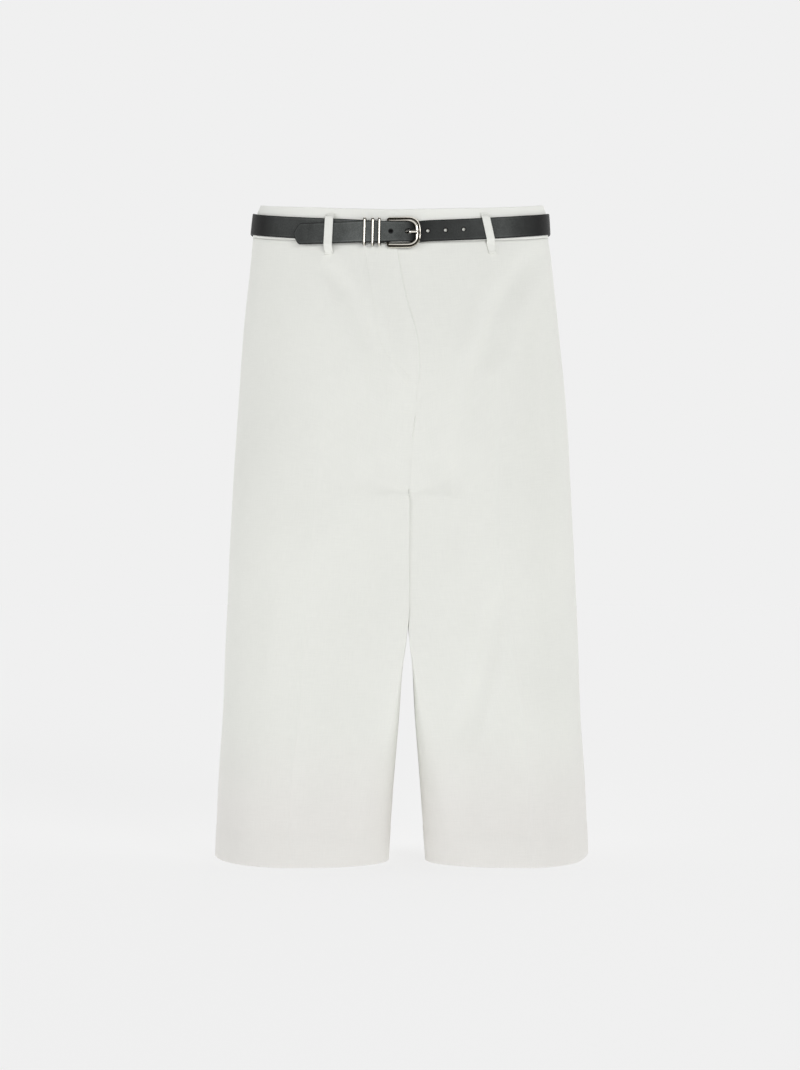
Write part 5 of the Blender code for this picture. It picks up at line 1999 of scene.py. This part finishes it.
@dataclass(frozen=True)
class LeatherFinish:
    """Slate-black leather with a fine printed grain, burnished edges and a low shine."""

    painted_shade_rims: tuple[Vector, ...]
    bores: tuple[Vector, ...]
    name: str = "belt_leather"
    tint: Triple = (0.93, 1.0, 0.965)
    core: Triple = (0.78, 0.77, 0.73)
    grain: float = 900.0
    relief: float = 0.00012
    warp: float = 0.0012
    burnish: Pair = (0.0003, 0.0012)
    painted_highlight_line: float = 0.0019
    core_reach: Pair = (0.0018, 0.0021)
    painted_shade_rim_reach: Pair = (0.0030, 0.0038)
    patch_parts: Pair = (0.35, 0.65)
    patch_tones: Pair = (0.70, 1.32)
    rough: Pair = (0.46, 0.62)

    def away(self, g: Graph, spot: object, places: Sequence[Vector]) -> Socket:
        """Distance from the nearest of some places."""
        nearest = None
        for place in places:
            gap = g.vector("DISTANCE", spot, place, "Value")
            nearest = gap if nearest is None else g.math("MINIMUM", nearest, gap)
        return nearest

    def material(self) -> Material:
        """Build the finish from the strap's UV: its u holds the tone, painted light and shade, its
        v the inset.

        Cells of two sizes make the grain and clouds shift the tone. The edges are burnished dark,
        painted shade darkens the holes' rims, a painted highlight lightens a line inside each edge,
        and the leather's pale core shows in the bores.

        Returns:
            The material.
        """
        g = Graph(bpy.data.materials.new(self.name))
        spot = g.spot()
        tone, inset = g.split(g.sheet_place())[:2]
        warped = g.noise(spot, 260.0, 2.0).outputs[1]
        place = g.vector("ADD", spot, g.vector("MULTIPLY", warped, [self.warp] * 3))
        cells, small = (
            g.node("TexVoronoi", {"feature": feature}, Vector=place, Scale=scale * self.grain)
            for feature, scale in (("SMOOTH_F1", 1.0), ("F1", 2.6))
        )
        g.set(cells.inputs["Smoothness"], 0.5)
        cells = cells.outputs[0]
        pores = g.math("ADD", cells, g.times(small.outputs[0], 0.35))
        cloud = g.noise(spot, 70.0, 5.0, 0.7).outputs[0]
        patchy = g.weighed(cells, self.patch_parts[0], cloud, self.patch_parts[1])
        patchy = g.ramp(patchy, 0.30, 0.62, *self.patch_tones)
        edge = g.ramp(inset, *self.burnish, 0.12, 1.0)
        # painted highlight: a lighter line just inside each edge, along the pressed crease
        off_line = g.math("ABSOLUTE", g.math("SUBTRACT", inset, self.painted_highlight_line))
        line = g.ramp(off_line, 0.0002, 0.0008, 1.35, 1.0)
        # the tone from UV u darkens and lightens the leather as painted light and shade
        shade = g.times(g.times(patchy, edge), g.times(line, tone))
        # painted shade: the leather darkens round each hole
        shade = g.times(shade, g.ramp(self.away(g, spot, self.painted_shade_rims), *self.painted_shade_rim_reach, 0.1, 1.0))
        bare = g.ramp(self.away(g, spot, self.bores), *self.core_reach, 1.0, 0.0)
        bump = g.bump(pores, 0.8, self.relief)
        bump.invert = True
        g.surface(
            Base_Color=g.blend(bare, g.blend(shade, BLACK, rgba(self.tint)), rgba(self.core)),
            Roughness=g.ramp(cells, 0.0, 0.8, *self.rough),
            Normal=bump.outputs[0],
            Specular_IOR_Level=0.22,
        )
        return g.owner


@dataclass(frozen=True)
class MetalFinish:
    """Pale gold plating with a bright polish, and a dark brown painted reflection and shade where
    its UV v says.
    """

    name: str = "belt_metal"
    light: Triple = (0.97, 0.94, 0.86)
    dark: Triple = (0.89, 0.84, 0.75)
    painted_reflection_shade: Triple = (0.030, 0.024, 0.017)
    brushing: Triple = (300.0, 300.0, 3200.0)
    rough: Pair = (0.07, 0.16)
    painted_reflection_shade_rough: float = 0.3

    def material(self) -> Material:
        """Build the finish: UV v holds the painted dark reflection and shade, noise gives the
        polish and the tone.

        Returns:
            The material.
        """
        g = Graph(bpy.data.materials.new(self.name))
        spot = g.spot()
        painted_reflection_shade_share = g.split(g.sheet_place())[1]
        polish = g.noise(g.mapped(spot, self.brushing), 1.0, 3.0).outputs[0]
        cloud = g.noise(spot, 160.0, 2.0).outputs[0]
        plate = g.blend(cloud, rgba(self.dark), rgba(self.light))
        # painted reflection and shade darkens the plate where UV v is high, and adds roughness
        # there
        g.surface(
            Base_Color=g.blend(painted_reflection_shade_share, plate, rgba(self.painted_reflection_shade)),
            Metallic=1.0,
            Roughness=g.math(
                "ADD", g.ramp(polish, 0.3, 0.7, *self.rough), g.times(painted_reflection_shade_share, self.painted_reflection_shade_rough)
            ),
            Normal=g.bump(polish, 0.12, 0.00003).outputs[0],
        )
        return g.owner


@dataclass(frozen=True)
class Lamp:
    """A far, soft light: its way round from the front, its rise, its spread, all in degrees,
    and its power."""

    name: str
    azimuth: float
    rise: float
    spread: float
    power: float


@dataclass(frozen=True)
class Studio:
    """Pale floor, even light and the camera at the photograph's place."""

    background: float = 0.871
    floor_z: float = -0.6606
    floor_rings: tuple[float, ...] = (0.3, 0.7, 1.2, 2.0, 4.0, 9.0)
    floor_colour: float = 0.24
    floor_glow: float = 0.708
    camera_place: Triple = (-0.002, -2.5, -0.3246)
    picture_height: float = 1.12029
    sensor: float = 36.0
    sight: Pair = (0.05, 50.0)
    ceiling: float = 0.03
    ceiling_rise: Pair = (0.36, 0.44)
    ceiling_front: Pair = (0.10, -0.30)
    lamp_distance: float = 3.0
    lamps: tuple[Lamp, ...] = (
        Lamp("key", 30.0, 15.0, 24.0, 0.755),
        Lamp("fill", -56.0, 14.0, 24.0, 0.42),
        Lamp("back", 170.0, 16.0, 30.0, 0.22),
    )

    def camera(self) -> None:
        """Place the camera: its lens fits the picture's height at the side seams' distance."""
        data = bpy.data.cameras.new("camera")
        data.sensor_width = self.sensor
        data.lens = self.sensor * -self.camera_place[1] / self.picture_height
        data.clip_start, data.clip_end = self.sight
        camera = bpy.data.objects.new("camera", data)
        camera.location = self.camera_place
        camera.rotation_euler = (0.5 * math.pi, 0.0, 0.0)
        bpy.context.scene.collection.objects.link(camera)
        bpy.context.scene.camera = camera

    def floor(self) -> None:
        """Lay the floor, a large disc that glows enough to meet the background's tone."""
        rings = np.array(self.floor_rings)[:, None]
        turn = np.linspace(0.0, TAU, 64, endpoint=False)
        flat = paired(rings * np.cos(turn), rings * np.sin(turn)).reshape(-1, 2)
        points = np.insert(flat, 2, self.floor_z, axis=1)
        faces, _ = grid_faces(len(rings), len(turn), wrap=True)
        floor = new_object("floor", points, faces, None, [list(range(len(turn)))[::-1]])
        g = Graph(bpy.data.materials.new("floor_paper"))
        g.surface(
            Base_Color=rgba([self.floor_colour] * 3),
            Roughness=0.95,
            Specular_IOR_Level=0.0,
            Emission_Color=WHITE,
            Emission_Strength=self.floor_glow,
        )
        floor.data.materials.append(g.owner)

    def world(self) -> None:
        """Set the surroundings: even round the horizon, and a dark ceiling over the front."""
        g = Graph(bpy.data.worlds.new("studio"))
        bpy.context.scene.world = g.owner
        way = g.split(g.node("TexCoord").outputs["Generated"])
        ramps = [g.ramp(way[2], *self.ceiling_rise), g.ramp(way[1], *self.ceiling_front)]
        for ramp in ramps:
            ramp.node.interpolation_type = "SMOOTHSTEP"
        drop = g.ramp(g.times(*ramps), 0.0, 1.0, self.background, self.ceiling)
        g.surface(Color=WHITE, Strength=drop)

    def light(self, lamp: Lamp) -> None:
        """Add one far, soft light that shines towards the garment."""
        data = bpy.data.lights.new(lamp.name, "SUN")
        data.angle = math.radians(lamp.spread)
        data.energy = lamp.power
        light = bpy.data.objects.new(lamp.name, data)
        turn, rise = math.radians(lamp.azimuth), math.radians(lamp.rise)
        level = math.cos(rise)
        place = Vector((math.sin(turn) * level, -math.cos(turn) * level, math.sin(rise)))
        light.location = self.lamp_distance * place
        light.rotation_euler = (-place).to_track_quat("-Z", "Y").to_euler()
        bpy.context.scene.collection.objects.link(light)

    def build(self) -> None:
        """Set up the whole studio."""
        self.camera()
        self.floor()
        self.world()
        for lamp in self.lamps:
            self.light(lamp)
        view = bpy.context.scene.view_settings
        view.view_transform = "Standard"
        view.look = "None"
        LOG.info("studio: floor at %.4f", self.floor_z)


@dataclass
class Garment:
    """The culottes: panels, waistband, loops and stitching."""

    form: Form
    cloth: Material
    # the waistband's lighter copy of the cloth, painted light
    band: Material
    thread: Material
    pieces: dict[str, Thing] = field(default_factory=dict)

    def panels(self) -> None:
        cutter = Cutter(self.form, Drape(self.form))
        for side in Side:
            half = cutter.half(side)
            for face in Face:
                piece = ClothPanel(half, face, self.form).build(cutter.torso_rows)
                finish_piece(piece, self.cloth, "cloth", f"{face.value}_{side.value}")
                self.pieces[piece.name] = piece

    def bands(self, waist: Waist) -> None:
        """Make the waistband's halves and the belt loops.

        Args:
            waist: the belt's line for the loops.
        """
        for side in Side:
            band = Waistband(self.form, side).build()
            finish_piece(band, self.band, "cloth", f"waistband_{side.value}")
        for loop in LOOPS:
            piece = loop.build(waist)
            finish_piece(piece, self.cloth, "cloth", loop.node)

    def sewing(self, waist: Waist) -> None:
        """Sew the fly's curved line and the loops' ends.

        Args:
            waist: the belt's line for the loops.
        """
        line = FlyStitching().build(self.pieces["right_front_cloth"], Stitches())
        finish_piece(line, self.thread, "cloth")
        runs = np.concatenate([loop.tacks(waist) for loop in LOOPS], axis=1)
        tacks = Stitches(length=0.0030, radius=0.00021).build("loop_tacks", *runs)
        finish_piece(tacks, self.thread, "cloth")

    def build(self) -> None:
        """Make the whole garment."""
        waist = Waist(self.form, 0.0)
        self.panels()
        self.bands(waist)
        self.sewing(waist)


@dataclass
class Belt:
    """The belt: strap, keepers, buckle frame and prong."""

    waist: Waist
    metal: Material
    keeper_places: tuple[float, ...] = (-0.0373, -0.0292, -0.0227)

    def build(self) -> None:
        """Make the whole belt."""
        strap = Strap(self.waist)
        leather = LeatherFinish(strap.hole_places(False), strap.hole_places(True)).material()
        finish_piece(strap.build(), leather, "leather", "belt")
        for number, x in enumerate(self.keeper_places, start=1):
            keeper = Keeper(self.waist, number, x).build()
            finish_piece(keeper, self.metal, "metal", f"keeper_{number}")
        finish_piece(BuckleFrame(self.waist).build(), self.metal, "metal", "buckle_frame")
        finish_piece(Prong(self.waist).build(), self.metal, "metal", "buckle_prong")


def main() -> None:
    """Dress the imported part."""
    logging.basicConfig(level=logging.INFO, format="%(name)s %(message)s")
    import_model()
    form = Form()
    Studio().build()
    # painted light: the waistband gets a lighter copy of the suiting to offset the shade that the
    # belt and the dark ceiling throw on it
    band = ClothFinish("culottes_band_suiting_painted_light", (0.942, 0.950, 0.906), (0.898, 0.906, 0.862))
    Garment(form, ClothFinish().material(), band.material(), ThreadFinish().material()).build()
    Belt(Waist(form, 0.5), MetalFinish().material()).build()


if __name__ == "__main__":
    main()
